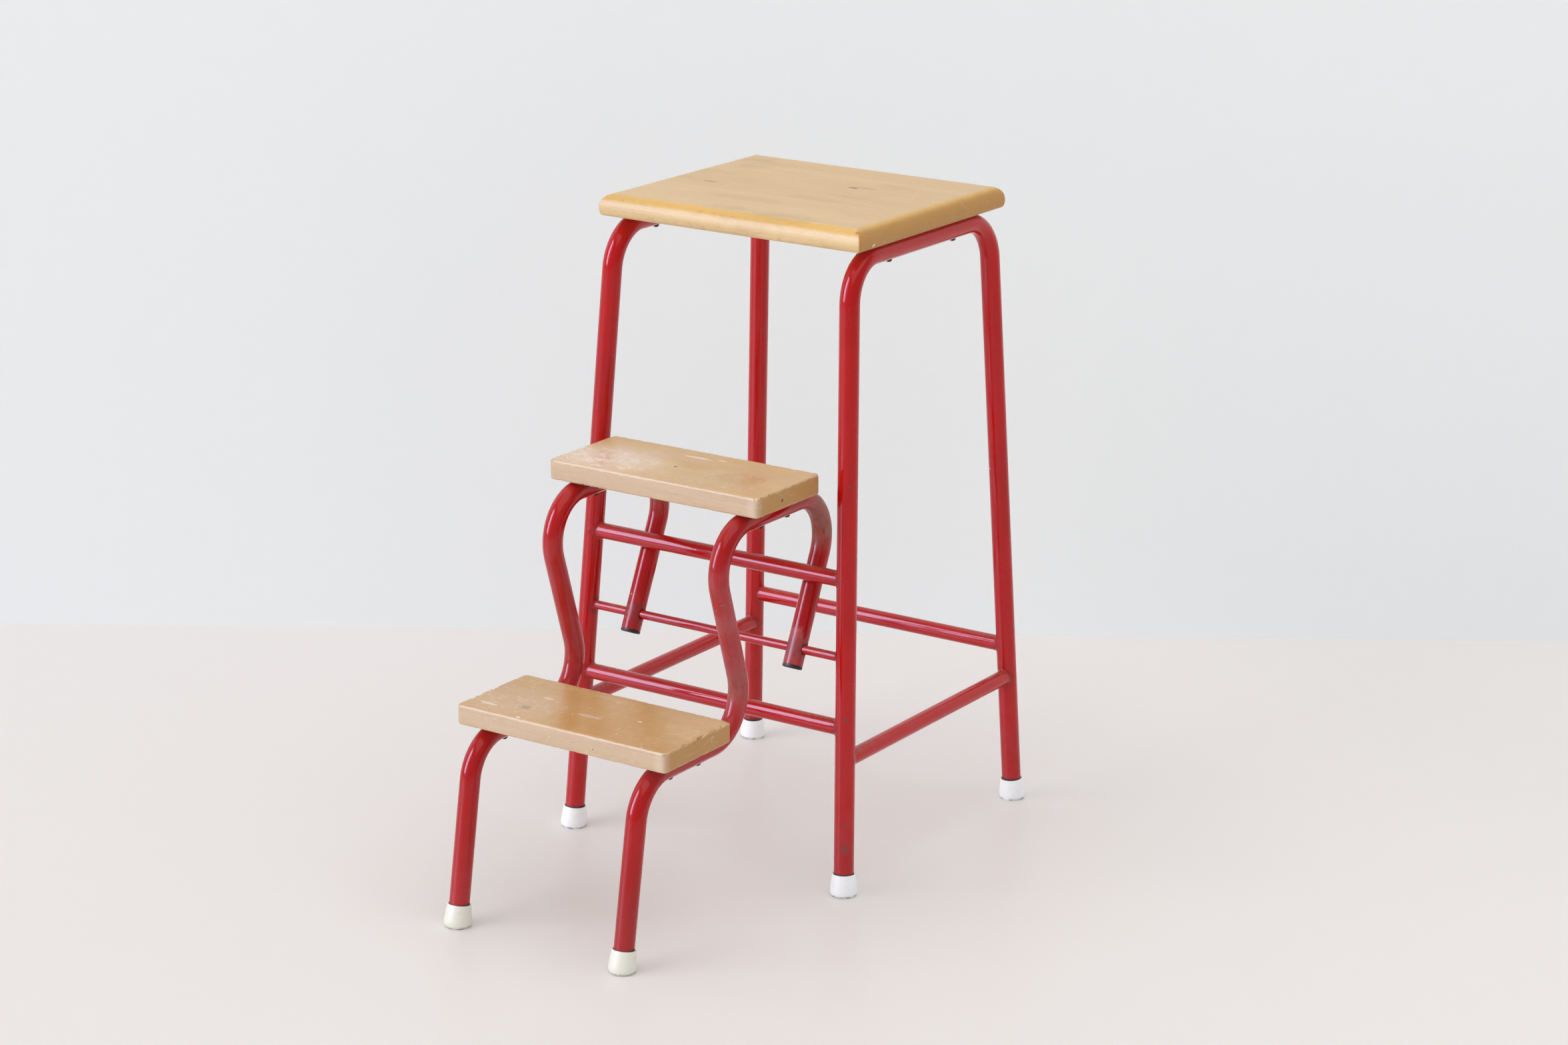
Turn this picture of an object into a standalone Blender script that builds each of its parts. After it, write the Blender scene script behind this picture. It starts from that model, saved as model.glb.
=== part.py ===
"""Folding step stool: a wooden seat on two bent-tube side frames, with a two-step unit hinged on a cross rod.

The stool stands on z = 0. +X is the stool's right as seen from the steps, and the steps face -Y.
"""

from math import cos, pi, radians, sin, sqrt, tan

import bmesh
import bpy
from mathutils import Matrix, Vector

# Driving dimensions in metres, angles in degrees.

# Seat board
SEAT_HEIGHT = 0.660
SEAT_WIDTH = 0.306
SEAT_DEPTH = 0.276
SEAT_THICKNESS = 0.022
SEAT_TOP_INSET = 0.0105
SEAT_TOP_DROP = 0.0135
SEAT_BOTTOM_INSET = 0.0045
SEAT_BOTTOM_RISE = 0.0075

# Bent tubes of the side frames and of the step unit
TUBE_DIAMETER = 0.020
TUBE_WALL = 0.0015
BEND_RADIUS = 0.045

# Side frames: half spacings of the tube centre lines, on the floor and at the run under the seat
FOOT_HALF_WIDTH = 0.1653
FOOT_HALF_DEPTH = 0.1664
TOP_HALF_WIDTH = 0.1376
TOP_HALF_DEPTH = 0.1300

# Rails between the legs, and the pivot rod
RAIL_DIAMETER = 0.016
RAIL_WALL = 0.0015
ROD_DIAMETER = 0.009
UPPER_RAIL_HEIGHT = 0.3174
ROD_HEIGHT = 0.2393
LOWER_RAIL_HEIGHT = 0.1689
SIDE_RAIL_HEIGHT = 0.1367
REAR_RAIL_HEIGHT = 0.1708

# Step unit: heights above the floor, and distances ahead of the pivot rod
STEP_TUBE_HALF_SPACING = 0.0975
LOWER_STEP_HEIGHT = 0.211
UPPER_STEP_HEIGHT = 0.421
STEP_BOARD_WIDTH = 0.245
STEP_BOARD_DEPTH = 0.110
STEP_BOARD_THICKNESS = 0.020
STEP_BOARD_CORNER = 0.004
STEP_BOARD_EDGE = 0.0015
LOWER_STEP_AHEAD = 0.2595
UPPER_STEP_AHEAD = 0.1098
STEP_FOOT_AHEAD = 0.2935
FRONT_CORNER_AHEAD = 0.2649
RISER_BOTTOM_AHEAD = 0.0848
RISER_TOP_AHEAD = 0.1544
TAIL_LEAN = 23.9
TAIL_BELOW_ROD = 0.018

# Foot caps and tail plugs
CAP_HEIGHT = 0.022
CAP_BASE_RADIUS = 0.0135
CAP_BASE_BAND = 0.003
CAP_WALL = 0.0013
CAP_SOLE = 0.005
CAP_RIM_CHAMFER = 0.0005
PLUG_FLANGE = 0.002
PLUG_CHAMFER = 0.001
PLUG_SPIGOT = 0.008

# Wood screws, from below through the tubes
SCREW_DIAMETER = 0.004
SCREW_HEAD_DIAMETER = 0.0085
SCREW_HEAD_HEIGHT = 0.0025
SCREW_HEAD_FLAT = 0.006
SCREW_HEAD_CROWN = 0.0015
SCREW_BITE = 0.012
SEAT_SCREW_HALF_PITCH = 0.060
STEP_SCREW_FROM_REAR = 0.0213
STEP_SCREW_PITCH = 0.046

# Clearances between neighbouring pieces
SEAT_GAP = 0.0003
ROD_CLEARANCE = 0.0003
SOCKET_CLEARANCE = 0.0003
SPIGOT_CLEARANCE = 0.0004
HOLE_CLEARANCE = 0.0003

# Facets
TUBE_SIDES = 16
BEND_STEPS = 6
NOSE_STEPS = 8
TURNED_SIDES = 24
SCREW_SIDES = 12
SMOOTH_ANGLE = 35.0

# Sizes worked out from the driving dimensions
TUBE_RADIUS = TUBE_DIAMETER / 2
RAIL_RADIUS = RAIL_DIAMETER / 2
ROD_RADIUS = ROD_DIAMETER / 2
SCREW_RADIUS = SCREW_DIAMETER / 2
TOP_RUN_HEIGHT = SEAT_HEIGHT - SEAT_THICKNESS - SEAT_GAP - TUBE_RADIUS
LEG_SLOPE_X = (FOOT_HALF_WIDTH - TOP_HALF_WIDTH) / TOP_RUN_HEIGHT
LEG_SLOPE_Y = (FOOT_HALF_DEPTH - TOP_HALF_DEPTH) / TOP_RUN_HEIGHT
LOWER_RUN_HEIGHT = LOWER_STEP_HEIGHT - STEP_BOARD_THICKNESS - SEAT_GAP - TUBE_RADIUS
UPPER_RUN_HEIGHT = UPPER_STEP_HEIGHT - STEP_BOARD_THICKNESS - SEAT_GAP - TUBE_RADIUS
STEP_LEG_SLOPE = (STEP_FOOT_AHEAD - FRONT_CORNER_AHEAD) / LOWER_RUN_HEIGHT
ROD_BEFORE_CENTRE = FOOT_HALF_DEPTH - LEG_SLOPE_Y * ROD_HEIGHT

# The origin lies under the middle of the standing stool, so the legs' own middle lies behind it.
FRONT_REACH = ROD_BEFORE_CENTRE + STEP_FOOT_AHEAD + CAP_BASE_RADIUS * sqrt(1 + STEP_LEG_SLOPE**2)
REAR_REACH = FOOT_HALF_DEPTH + CAP_BASE_RADIUS * sqrt(1 + LEG_SLOPE_Y**2)
FRAME_Y = (FRONT_REACH - REAR_REACH) / 2
PIVOT = Vector((0, FRAME_Y - ROD_BEFORE_CENTRE, ROD_HEIGHT))

UP = Vector((0, 0, 1))
SIDEWAYS = Vector((1, 0, 0))
SIDES = {"left": -1, "right": 1}
ENDS = {"front": -1, "rear": 1}

COLOURS = {
    "red_paint": ((0.42, 0.016, 0.022), 0.25, 0.0),
    "lacquered_wood": ((0.62, 0.42, 0.22), 0.38, 0.0),
    "white_plastic": ((0.68, 0.71, 0.70), 0.45, 0.0),
    "black_plastic": ((0.02, 0.02, 0.02), 0.5, 0.0),
    "dark_steel": ((0.12, 0.11, 0.10), 0.45, 1.0),
}


def clear_scene():
    """Remove every object, so that a second run starts from nothing."""
    for obj in list(bpy.data.objects):
        bpy.data.objects.remove(obj, do_unlink=True)


def paint(obj, finish):
    """Give the object its own material in one of the stool's finishes."""
    colour, roughness, metallic = COLOURS[finish]
    material = bpy.data.materials.new(f"{obj.name}_{finish}")
    material.use_nodes = True
    shader = material.node_tree.nodes["Principled BSDF"]
    shader.inputs["Base Color"].default_value = (*colour, 1)
    shader.inputs["Roughness"].default_value = roughness
    shader.inputs["Metallic"].default_value = metallic
    obj.data.materials.append(material)


def add_empty(name, location):
    """Add an empty that carries the pieces of one rigid body."""
    empty = bpy.data.objects.new(name, None)
    empty.location = location
    bpy.context.scene.collection.objects.link(empty)
    return empty


def add_piece(name, bm, finish, carrier):
    """Turn a bmesh in world coordinates into a named object that hangs on its carrier."""
    bmesh.ops.recalc_face_normals(bm, faces=bm.faces)
    bmesh.ops.translate(bm, vec=-carrier.location, verts=bm.verts)
    mesh = bpy.data.meshes.new(name)
    bm.to_mesh(mesh)
    bm.free()
    mesh.shade_smooth()
    mesh.set_sharp_from_angle(angle=radians(SMOOTH_ANGLE))
    obj = bpy.data.objects.new(name, mesh)
    obj.parent = carrier
    bpy.context.scene.collection.objects.link(obj)
    paint(obj, finish)
    return obj


def add_cutter(name, bm):
    """Turn a bmesh in world coordinates into a hidden cutting tool."""
    bmesh.ops.recalc_face_normals(bm, faces=bm.faces)
    mesh = bpy.data.meshes.new(name)
    bm.to_mesh(mesh)
    bm.free()
    cutter = bpy.data.objects.new(name, mesh)
    cutter.hide_render = True
    cutter.display_type = "WIRE"
    bpy.context.scene.collection.objects.link(cutter)
    return cutter


def cut(obj, *cutters):
    """Take the cutters out of the piece."""
    for cutter in cutters:
        modifier = obj.modifiers.new(cutter.name, "BOOLEAN")
        modifier.operation = "DIFFERENCE"
        modifier.solver = "EXACT"
        modifier.object = cutter


def align(origin, axis, reference=SIDEWAYS):
    """Matrix that puts local Z along the axis, with local X as near to the reference as it can be."""
    local_z = axis.normalized()
    local_y = local_z.cross(reference).normalized()
    local_x = local_y.cross(local_z)
    matrix = Matrix((local_x, local_y, local_z)).transposed().to_4x4()
    matrix.translation = origin
    return matrix


def bar(bm, start, end, radius, sides, reference=SIDEWAYS):
    """Add a solid round bar between two points."""
    axis = end - start
    bmesh.ops.create_cone(
        bm,
        cap_ends=True,
        segments=sides,
        radius1=radius,
        radius2=radius,
        depth=axis.length,
        matrix=align((start + end) / 2, axis, reference),
    )
    return bm


def turned(bm, outline, origin, axis, sides):
    """Turn an outline of (radius, height) points about an axis."""
    matrix = align(origin, axis)
    points = [matrix @ Vector((radius, 0, height)) for radius, height in outline]
    verts = [bm.verts.new(point) for point in points]
    edges = [bm.edges.new(pair) for pair in zip(verts, verts[1:] + verts[:1])]
    bmesh.ops.spin(
        bm,
        geom=verts + edges,
        cent=origin,
        axis=axis.normalized(),
        angle=2 * pi,
        steps=sides,
        use_merge=True,
    )
    bmesh.ops.remove_doubles(bm, verts=bm.verts, dist=1e-6)
    loose = [edge for edge in bm.edges if not edge.link_faces]
    bmesh.ops.delete(bm, geom=loose, context="EDGES")
    return bm


def bent_path(corners, radius):
    """Points and directions along a polyline whose inner corners are bent to the given radius."""
    path = [(corners[0], (corners[1] - corners[0]).normalized())]
    for before, corner, after in zip(corners, corners[1:], corners[2:]):
        inward = (corner - before).normalized()
        outward = (after - corner).normalized()
        turn = inward.angle(outward)
        across = (outward - inward * outward.dot(inward)).normalized()
        start = corner - inward * radius * tan(turn / 2)
        for step in range(BEND_STEPS + 1):
            angle = turn * step / BEND_STEPS
            point = start + radius * (sin(angle) * inward + (1 - cos(angle)) * across)
            path.append((point, cos(angle) * inward + sin(angle) * across))
    path.append((corners[-1], (corners[-1] - corners[-2]).normalized()))
    return path


def tube_skin(bm, path, plane_normal, radius):
    """Add one skin of rings along a flat path, and return its two end rings."""
    rings = []
    for point, direction in path:
        matrix = align(point, direction, plane_normal)
        circle = bmesh.ops.create_circle(bm, segments=TUBE_SIDES, radius=radius, matrix=matrix)
        rings.append(circle["verts"])
    for ring, following in zip(rings, rings[1:]):
        for index in range(TUBE_SIDES):
            beside = (index + 1) % TUBE_SIDES
            bm.faces.new((ring[index], ring[beside], following[beside], following[index]))
    return rings[0], rings[-1]


def hollow_tube(corners, plane_normal, radius, wall):
    """Hollow tube along the corners, bent where it turns and open at both ends."""
    bm = bmesh.new()
    path = bent_path(corners, BEND_RADIUS)
    outer_ends = tube_skin(bm, path, plane_normal, radius)
    inner_ends = tube_skin(bm, path, plane_normal, radius - wall)
    for outer, inner in zip(outer_ends, inner_ends):
        for index in range(TUBE_SIDES):
            beside = (index + 1) % TUBE_SIDES
            bm.faces.new((outer[index], outer[beside], inner[beside], inner[index]))
    return bm


def leg_point(side, end, height):
    """Point on a leg's centre line at a height."""
    x = side * (FOOT_HALF_WIDTH - LEG_SLOPE_X * height)
    y = FRAME_Y + end * (FOOT_HALF_DEPTH - LEG_SLOPE_Y * height)
    return Vector((x, y, height))


def leg_axis(side, end):
    """Direction of a leg, pointing up."""
    return Vector((-side * LEG_SLOPE_X, -end * LEG_SLOPE_Y, 1)).normalized()


def step_point(side, ahead, height):
    """Point in the plane of a step tube, a distance ahead of the pivot rod."""
    return Vector((side * STEP_TUBE_HALF_SPACING, PIVOT.y - ahead, height))


def step_leg_axis():
    """Direction of the step unit's front legs, pointing up."""
    return Vector((0, STEP_LEG_SLOPE, 1)).normalized()


def tail_axis():
    """Direction of the step tubes' tails, pointing down through the pivot rod."""
    lean = radians(TAIL_LEAN)
    return Vector((0, -sin(lean), -cos(lean)))


def tube_end_height():
    """Height of the legs' open ends, just above the soles of their caps."""
    return CAP_SOLE + SOCKET_CLEARANCE


def seat_nose_profile():
    """Inset and height of every level of the seat's nose, from its flat underside to its flat top."""
    quarter = [pi / 2 * step / NOSE_STEPS for step in range(NOSE_STEPS + 1)]
    below = [(SEAT_BOTTOM_INSET * (1 - sin(turn)), SEAT_BOTTOM_RISE * (1 - cos(turn))) for turn in quarter]
    shoulder = SEAT_THICKNESS - SEAT_TOP_DROP
    above = [(SEAT_TOP_INSET * (1 - cos(turn)), shoulder + SEAT_TOP_DROP * sin(turn)) for turn in quarter]
    return below + above


def seat_board(frame):
    """Seat board skinned up a deep oval nose all round, with mitred corners."""
    bm = bmesh.new()
    rings = []
    for inset, height in seat_nose_profile():
        across = SEAT_WIDTH / 2 - inset
        along = SEAT_DEPTH / 2 - inset
        corners = ((-across, -along), (across, -along), (across, along), (-across, along))
        rings.append([bm.verts.new((x, y, height)) for x, y in corners])
    for ring, following in zip(rings, rings[1:]):
        for index in range(4):
            beside = (index + 1) % 4
            bm.faces.new((ring[index], ring[beside], following[beside], following[index]))
    bm.faces.new(rings[0])
    bm.faces.new(rings[-1])
    bmesh.ops.recalc_face_normals(bm, faces=bm.faces)
    underside = Vector((0, FRAME_Y, SEAT_HEIGHT - SEAT_THICKNESS))
    bmesh.ops.translate(bm, vec=underside, verts=bm.verts)
    return add_piece("seat_board", bm, "lacquered_wood", frame)


def step_board(name, ahead, height, unit):
    """Flat step board with rounded upright corners and eased edges."""
    bm = bmesh.new()
    bmesh.ops.create_cube(bm, size=1)
    bmesh.ops.scale(bm, vec=(STEP_BOARD_WIDTH, STEP_BOARD_DEPTH, STEP_BOARD_THICKNESS), verts=bm.verts)
    upright = [edge for edge in bm.edges if edge.verts[0].co.xy == edge.verts[1].co.xy]
    bmesh.ops.bevel(bm, geom=upright, offset=STEP_BOARD_CORNER, segments=3, profile=0.5, affect="EDGES")
    level = [edge for edge in bm.edges if edge.verts[0].co.z == edge.verts[1].co.z]
    bmesh.ops.bevel(bm, geom=level, offset=STEP_BOARD_EDGE, segments=2, profile=0.5, affect="EDGES")
    middle = Vector((0, PIVOT.y - ahead + STEP_BOARD_DEPTH / 2, height - STEP_BOARD_THICKNESS / 2))
    bmesh.ops.translate(bm, vec=middle, verts=bm.verts)
    return add_piece(name, bm, "lacquered_wood", unit)


def side_frame(name, side, frame):
    """Side frame bent from one tube: front leg, run under the seat, rear leg."""
    corners = [
        leg_point(side, -1, tube_end_height()),
        leg_point(side, -1, TOP_RUN_HEIGHT),
        leg_point(side, 1, TOP_RUN_HEIGHT),
        leg_point(side, 1, tube_end_height()),
    ]
    plane_normal = Vector((1, 0, side * LEG_SLOPE_X)).normalized()
    bm = hollow_tube(corners, plane_normal, TUBE_RADIUS, TUBE_WALL)
    return add_piece(name, bm, "red_paint", frame)


def step_tube(name, side, unit):
    """Step tube bent from one length: foot, lower run, riser, upper run and the tail on the pivot rod."""
    foot_ahead = STEP_FOOT_AHEAD - STEP_LEG_SLOPE * tube_end_height()
    tail_top_ahead = (ROD_HEIGHT - UPPER_RUN_HEIGHT) * tan(radians(TAIL_LEAN))
    corners = [
        step_point(side, foot_ahead, tube_end_height()),
        step_point(side, FRONT_CORNER_AHEAD, LOWER_RUN_HEIGHT),
        step_point(side, RISER_BOTTOM_AHEAD, LOWER_RUN_HEIGHT),
        step_point(side, RISER_TOP_AHEAD, UPPER_RUN_HEIGHT),
        step_point(side, tail_top_ahead, UPPER_RUN_HEIGHT),
        step_point(side, 0, ROD_HEIGHT) + tail_axis() * TAIL_BELOW_ROD,
    ]
    bm = hollow_tube(corners, SIDEWAYS, TUBE_RADIUS, TUBE_WALL)
    return add_piece(name, bm, "red_paint", unit)


def rail(name, start, end, leg_cutters, frame):
    """Tube between two legs' centre lines, its ends coped to fit round the legs."""
    bm = hollow_tube([start, end], UP, RAIL_RADIUS, RAIL_WALL)
    cut(add_piece(name, bm, "red_paint", frame), *leg_cutters)


def pivot_rod(leg_cutters, frame):
    """Solid rod between the front legs, on which the step unit turns."""
    start = leg_point(-1, -1, ROD_HEIGHT)
    end = leg_point(1, -1, ROD_HEIGHT)
    bm = bar(bmesh.new(), start, end, ROD_RADIUS, TUBE_SIDES, UP)
    cut(add_piece("pivot_rod", bm, "red_paint", frame), *leg_cutters)


def foot_cap(name, floor_point, axis, carrier, floor_cutter):
    """Tapered cap pushed over a tube's end, its sole level with the floor."""
    bore = TUBE_RADIUS + SOCKET_CLEARANCE
    rim = bore + CAP_WALL
    outline = [
        (0, -CAP_SOLE),
        (CAP_BASE_RADIUS, -CAP_SOLE),
        (CAP_BASE_RADIUS, CAP_BASE_BAND),
        (rim, CAP_HEIGHT - CAP_RIM_CHAMFER),
        (rim - CAP_RIM_CHAMFER, CAP_HEIGHT),
        (bore, CAP_HEIGHT),
        (bore, CAP_SOLE),
        (0, CAP_SOLE),
    ]
    bm = turned(bmesh.new(), outline, floor_point, axis, TURNED_SIDES)
    cap = add_piece(name, bm, "white_plastic", carrier)
    cut(cap, floor_cutter)
    return cap


def tail_plug(name, side, unit):
    """Black plug in the open end of a step tube's tail."""
    mouth = step_point(side, 0, ROD_HEIGHT) + tail_axis() * (TAIL_BELOW_ROD + SOCKET_CLEARANCE)
    spigot = TUBE_RADIUS - TUBE_WALL - SPIGOT_CLEARANCE
    outline = [
        (0, PLUG_FLANGE),
        (TUBE_RADIUS - PLUG_CHAMFER, PLUG_FLANGE),
        (TUBE_RADIUS, PLUG_FLANGE - PLUG_CHAMFER),
        (TUBE_RADIUS, 0),
        (spigot, 0),
        (spigot, -PLUG_SPIGOT),
        (0, -PLUG_SPIGOT),
    ]
    bm = turned(bmesh.new(), outline, mouth, tail_axis(), TURNED_SIDES)
    return add_piece(name, bm, "black_plastic", unit)


def seat_screw_points():
    """Where the seat screws' axes meet the undersides of the side frames."""
    x = FOOT_HALF_WIDTH - LEG_SLOPE_X * TOP_RUN_HEIGHT
    bottom = TOP_RUN_HEIGHT - TUBE_RADIUS
    rows = (FRAME_Y - SEAT_SCREW_HALF_PITCH, FRAME_Y + SEAT_SCREW_HALF_PITCH)
    return [Vector((side * x, y, bottom)) for side in SIDES.values() for y in rows]


def step_screw_points(board_ahead, run_height):
    """Where a step board's screws' axes meet the undersides of the step tubes."""
    rear = board_ahead - STEP_BOARD_DEPTH + STEP_SCREW_FROM_REAR
    rows = (rear, rear + STEP_SCREW_PITCH)
    bottom = run_height - TUBE_RADIUS
    return [step_point(side, ahead, bottom) for side in SIDES.values() for ahead in rows]


def screw_set(name, points, carrier):
    """Add numbered pan-head wood screws, heads under the tubes and shanks up into the board."""
    head = SCREW_HEAD_DIAMETER / 2
    length = TUBE_DIAMETER + SCREW_BITE
    outline = [
        (0, -SCREW_HEAD_HEIGHT),
        (SCREW_HEAD_FLAT / 2, -SCREW_HEAD_HEIGHT),
        (head, SCREW_HEAD_CROWN - SCREW_HEAD_HEIGHT),
        (head, 0),
        (SCREW_RADIUS, 0),
        (SCREW_RADIUS, length - SCREW_DIAMETER),
        (0, length),
    ]
    for number, point in enumerate(points, start=1):
        bm = turned(bmesh.new(), outline, point - UP * HOLE_CLEARANCE, UP, SCREW_SIDES)
        add_piece(f"{name}_{number}", bm, "dark_steel", carrier)


def screw_holes(name, points):
    """Cutter for the clearance holes in the tubes and the pilot holes in the board."""
    bm = bmesh.new()
    depth = TUBE_DIAMETER + SCREW_BITE + HOLE_CLEARANCE
    for point in points:
        below = point - UP * SCREW_HEAD_HEIGHT
        bar(bm, below, point + UP * depth, SCREW_RADIUS + HOLE_CLEARANCE, SCREW_SIDES)
    return add_cutter(name, bm)


def leg_cutter(name, side, end):
    """Cutter as thick as a leg and its clearance, which copes the rails' ends."""
    axis = leg_axis(side, end)
    start = leg_point(side, end, 0)
    finish = start + axis * (TOP_RUN_HEIGHT - BEND_RADIUS) / axis.z
    plane_normal = Vector((1, 0, side * LEG_SLOPE_X)).normalized()
    bm = bar(bmesh.new(), start, finish, TUBE_RADIUS + SEAT_GAP, TUBE_SIDES, plane_normal)
    return add_cutter(name, bm)


def floor_slab():
    """Cutter that trims the caps' soles level with the floor."""
    bm = bmesh.new()
    bmesh.ops.create_cube(bm, size=1)
    size = Vector((FOOT_HALF_WIDTH * 4, (FRONT_REACH + REAR_REACH) * 2, CAP_SOLE * 6))
    bmesh.ops.scale(bm, vec=size, verts=bm.verts)
    bmesh.ops.translate(bm, vec=(0, 0, -size.z / 2), verts=bm.verts)
    return add_cutter("floor_cutter", bm)


def build_frame(floor_cutter):
    """Everything that stays still: seat, side frames, rails, rod, caps and seat screws."""
    frame = add_empty("stool_frame", Vector((0, 0, 0)))
    screw_points = seat_screw_points()
    holes = screw_holes("seat_screw_holes", screw_points)
    cut(seat_board(frame), holes)
    screw_set("seat_screw", screw_points, frame)
    legs = {}
    for side_name, side in SIDES.items():
        cut(side_frame(f"{side_name}_side_frame", side, frame), holes)
        for end_name, end in ENDS.items():
            legs[side_name, end_name] = leg_cutter(f"{side_name}_{end_name}_leg_cutter", side, end)
            cap_name = f"{end_name}_{side_name}_foot"
            foot_cap(cap_name, leg_point(side, end, 0), leg_axis(side, end), frame, floor_cutter)
    front_legs = (legs["left", "front"], legs["right", "front"])
    rear_legs = (legs["left", "rear"], legs["right", "rear"])
    rails_across = (
        ("upper_front_rail", -1, UPPER_RAIL_HEIGHT, front_legs),
        ("lower_front_rail", -1, LOWER_RAIL_HEIGHT, front_legs),
        ("rear_rail", 1, REAR_RAIL_HEIGHT, rear_legs),
    )
    for name, end, height, leg_cutters in rails_across:
        rail(name, leg_point(-1, end, height), leg_point(1, end, height), leg_cutters, frame)
    for side_name, side in SIDES.items():
        front = leg_point(side, -1, SIDE_RAIL_HEIGHT)
        rear = leg_point(side, 1, SIDE_RAIL_HEIGHT)
        rail(f"{side_name}_side_rail", front, rear, (legs[side_name, "front"], legs[side_name, "rear"]), frame)
    pivot_rod(front_legs, frame)


def build_step_unit(floor_cutter):
    """Everything that swings on the pivot rod: step tubes, boards, caps, plugs and screws."""
    unit = add_empty("step_unit", PIVOT)
    lower_points = step_screw_points(LOWER_STEP_AHEAD, LOWER_RUN_HEIGHT)
    upper_points = step_screw_points(UPPER_STEP_AHEAD, UPPER_RUN_HEIGHT)
    lower_holes = screw_holes("lower_step_screw_holes", lower_points)
    upper_holes = screw_holes("upper_step_screw_holes", upper_points)
    screw_set("lower_step_screw", lower_points, unit)
    screw_set("upper_step_screw", upper_points, unit)
    cut(step_board("lower_step_board", LOWER_STEP_AHEAD, LOWER_STEP_HEIGHT, unit), lower_holes)
    cut(step_board("upper_step_board", UPPER_STEP_AHEAD, UPPER_STEP_HEIGHT, unit), upper_holes)
    reach = SIDEWAYS * (STEP_TUBE_HALF_SPACING + TUBE_DIAMETER)
    rod_hole_bm = bar(bmesh.new(), PIVOT - reach, PIVOT + reach, ROD_RADIUS + ROD_CLEARANCE, TUBE_SIDES, UP)
    rod_hole = add_cutter("rod_hole", rod_hole_bm)
    for side_name, side in SIDES.items():
        tube = step_tube(f"{side_name}_step_tube", side, unit)
        cut(tube, rod_hole, lower_holes, upper_holes)
        floor_point = step_point(side, STEP_FOOT_AHEAD, 0)
        foot_cap(f"{side_name}_step_foot", floor_point, step_leg_axis(), unit, floor_cutter)
        tail_plug(f"{side_name}_tail_plug", side, unit)


def main():
    """Build the whole stool, standing with its steps swung out."""
    clear_scene()
    floor_cutter = floor_slab()
    build_frame(floor_cutter)
    build_step_unit(floor_cutter)


main()
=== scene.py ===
"""Folding step stool: red enamelled tubes, a lacquered wooden seat and steps, and white foot caps.

Run as a script, it dresses the loaded frame with detailed pieces. Each operator makes one piece, or one
group of like pieces, and the Step Stool panel in the 3D view's sidebar lists them all.
"""

from math import ceil, cos, pi, radians, sin, sqrt, tan

import bmesh
import bpy
from bmesh.types import BMEdge, BMVert
from bpy.props import FloatProperty, FloatVectorProperty, PointerProperty
from bpy.types import Operator, Panel, PropertyGroup
from mathutils import Matrix, Vector, noise


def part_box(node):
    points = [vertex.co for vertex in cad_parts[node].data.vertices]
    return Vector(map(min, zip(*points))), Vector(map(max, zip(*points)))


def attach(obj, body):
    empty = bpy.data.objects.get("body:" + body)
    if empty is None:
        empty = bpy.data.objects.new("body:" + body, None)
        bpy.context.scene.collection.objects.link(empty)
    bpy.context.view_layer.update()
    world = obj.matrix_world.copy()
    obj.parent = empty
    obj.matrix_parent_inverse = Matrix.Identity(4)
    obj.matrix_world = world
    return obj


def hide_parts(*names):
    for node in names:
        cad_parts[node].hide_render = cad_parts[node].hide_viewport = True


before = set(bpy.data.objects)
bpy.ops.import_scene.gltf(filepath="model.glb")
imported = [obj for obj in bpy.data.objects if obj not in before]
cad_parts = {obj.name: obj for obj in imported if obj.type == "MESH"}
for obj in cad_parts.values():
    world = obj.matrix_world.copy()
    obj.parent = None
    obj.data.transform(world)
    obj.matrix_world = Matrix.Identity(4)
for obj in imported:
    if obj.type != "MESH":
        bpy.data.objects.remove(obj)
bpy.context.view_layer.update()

bl_info = {
    "name": "Folding Step Stool",
    "version": (1, 0, 0),
    "blender": (4, 5, 0),
    "location": "View3D > Sidebar > Step Stool",
    "description": "Models a folding step stool with enamelled tubes and wooden steps",
    "category": "Add Mesh",
}

# Places read from the frame

BOXES = {node: [Vector(corner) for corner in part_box(node)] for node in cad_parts}


def middle(node):
    """Middle of a node's box."""
    low, high = BOXES[node]
    return (low + high) / 2


def radius_of(node, axis):
    """Radius of a tube or a bar, from its box's length along an axis."""
    low, high = BOXES[node]
    return (high[axis] - low[axis]) / 2


TUBE_RADIUS = radius_of("left_step_tube", 0)
RAIL_RADIUS = radius_of("upper_front_rail", 2)
ROD_RADIUS = radius_of("pivot_rod", 2)
FRAME_Y = middle("seat_board").y
PIVOT = middle("pivot_rod")
RUN_HEIGHT = BOXES["left_side_frame"][1].z - TUBE_RADIUS
UPPER_RUN_HEIGHT = BOXES["left_step_tube"][1].z - TUBE_RADIUS
LOWER_RUN_HEIGHT = UPPER_RUN_HEIGHT - BOXES["upper_step_board"][1].z + BOXES["lower_step_board"][1].z
TUBE_END_HEIGHT = BOXES["left_side_frame"][0].z
RAILS = ("upper_front_rail", "lower_front_rail", "rear_rail", "left_side_rail", "right_side_rail")

SIDES = {"left": -1, "right": 1}
ENDS = {"front": -1, "rear": 1}
UP = Vector((0, 0, 1))
SIDEWAYS = Vector((1, 0, 0))
MERGE_DISTANCE = 1e-6
TUBE_SIDES = 32
RING_SPACING = 0.005
POINT_SPACING = 0.0022
CLEARANCE = 0.0003
SCREW_LENGTH = 0.033
SCREW_RISE = 0.0007


# Settings


def settings(group):
    """One of the scene's groups of settings."""
    return getattr(bpy.context.scene, f"stool_{group}")


def words(identifier):
    """An identifier written as words, as the interface shows it."""
    return identifier.replace("_", " ").title()


def named(group):
    """Name each setting of a group after its own identifier."""
    for identifier, setting in group.__annotations__.items():
        setting.keywords["name"] = words(identifier)
    return group


def number(description, default, **kind):
    """Setting for a number, with its unit or subtype."""
    return FloatProperty(description=description, default=default, **kind)


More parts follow.
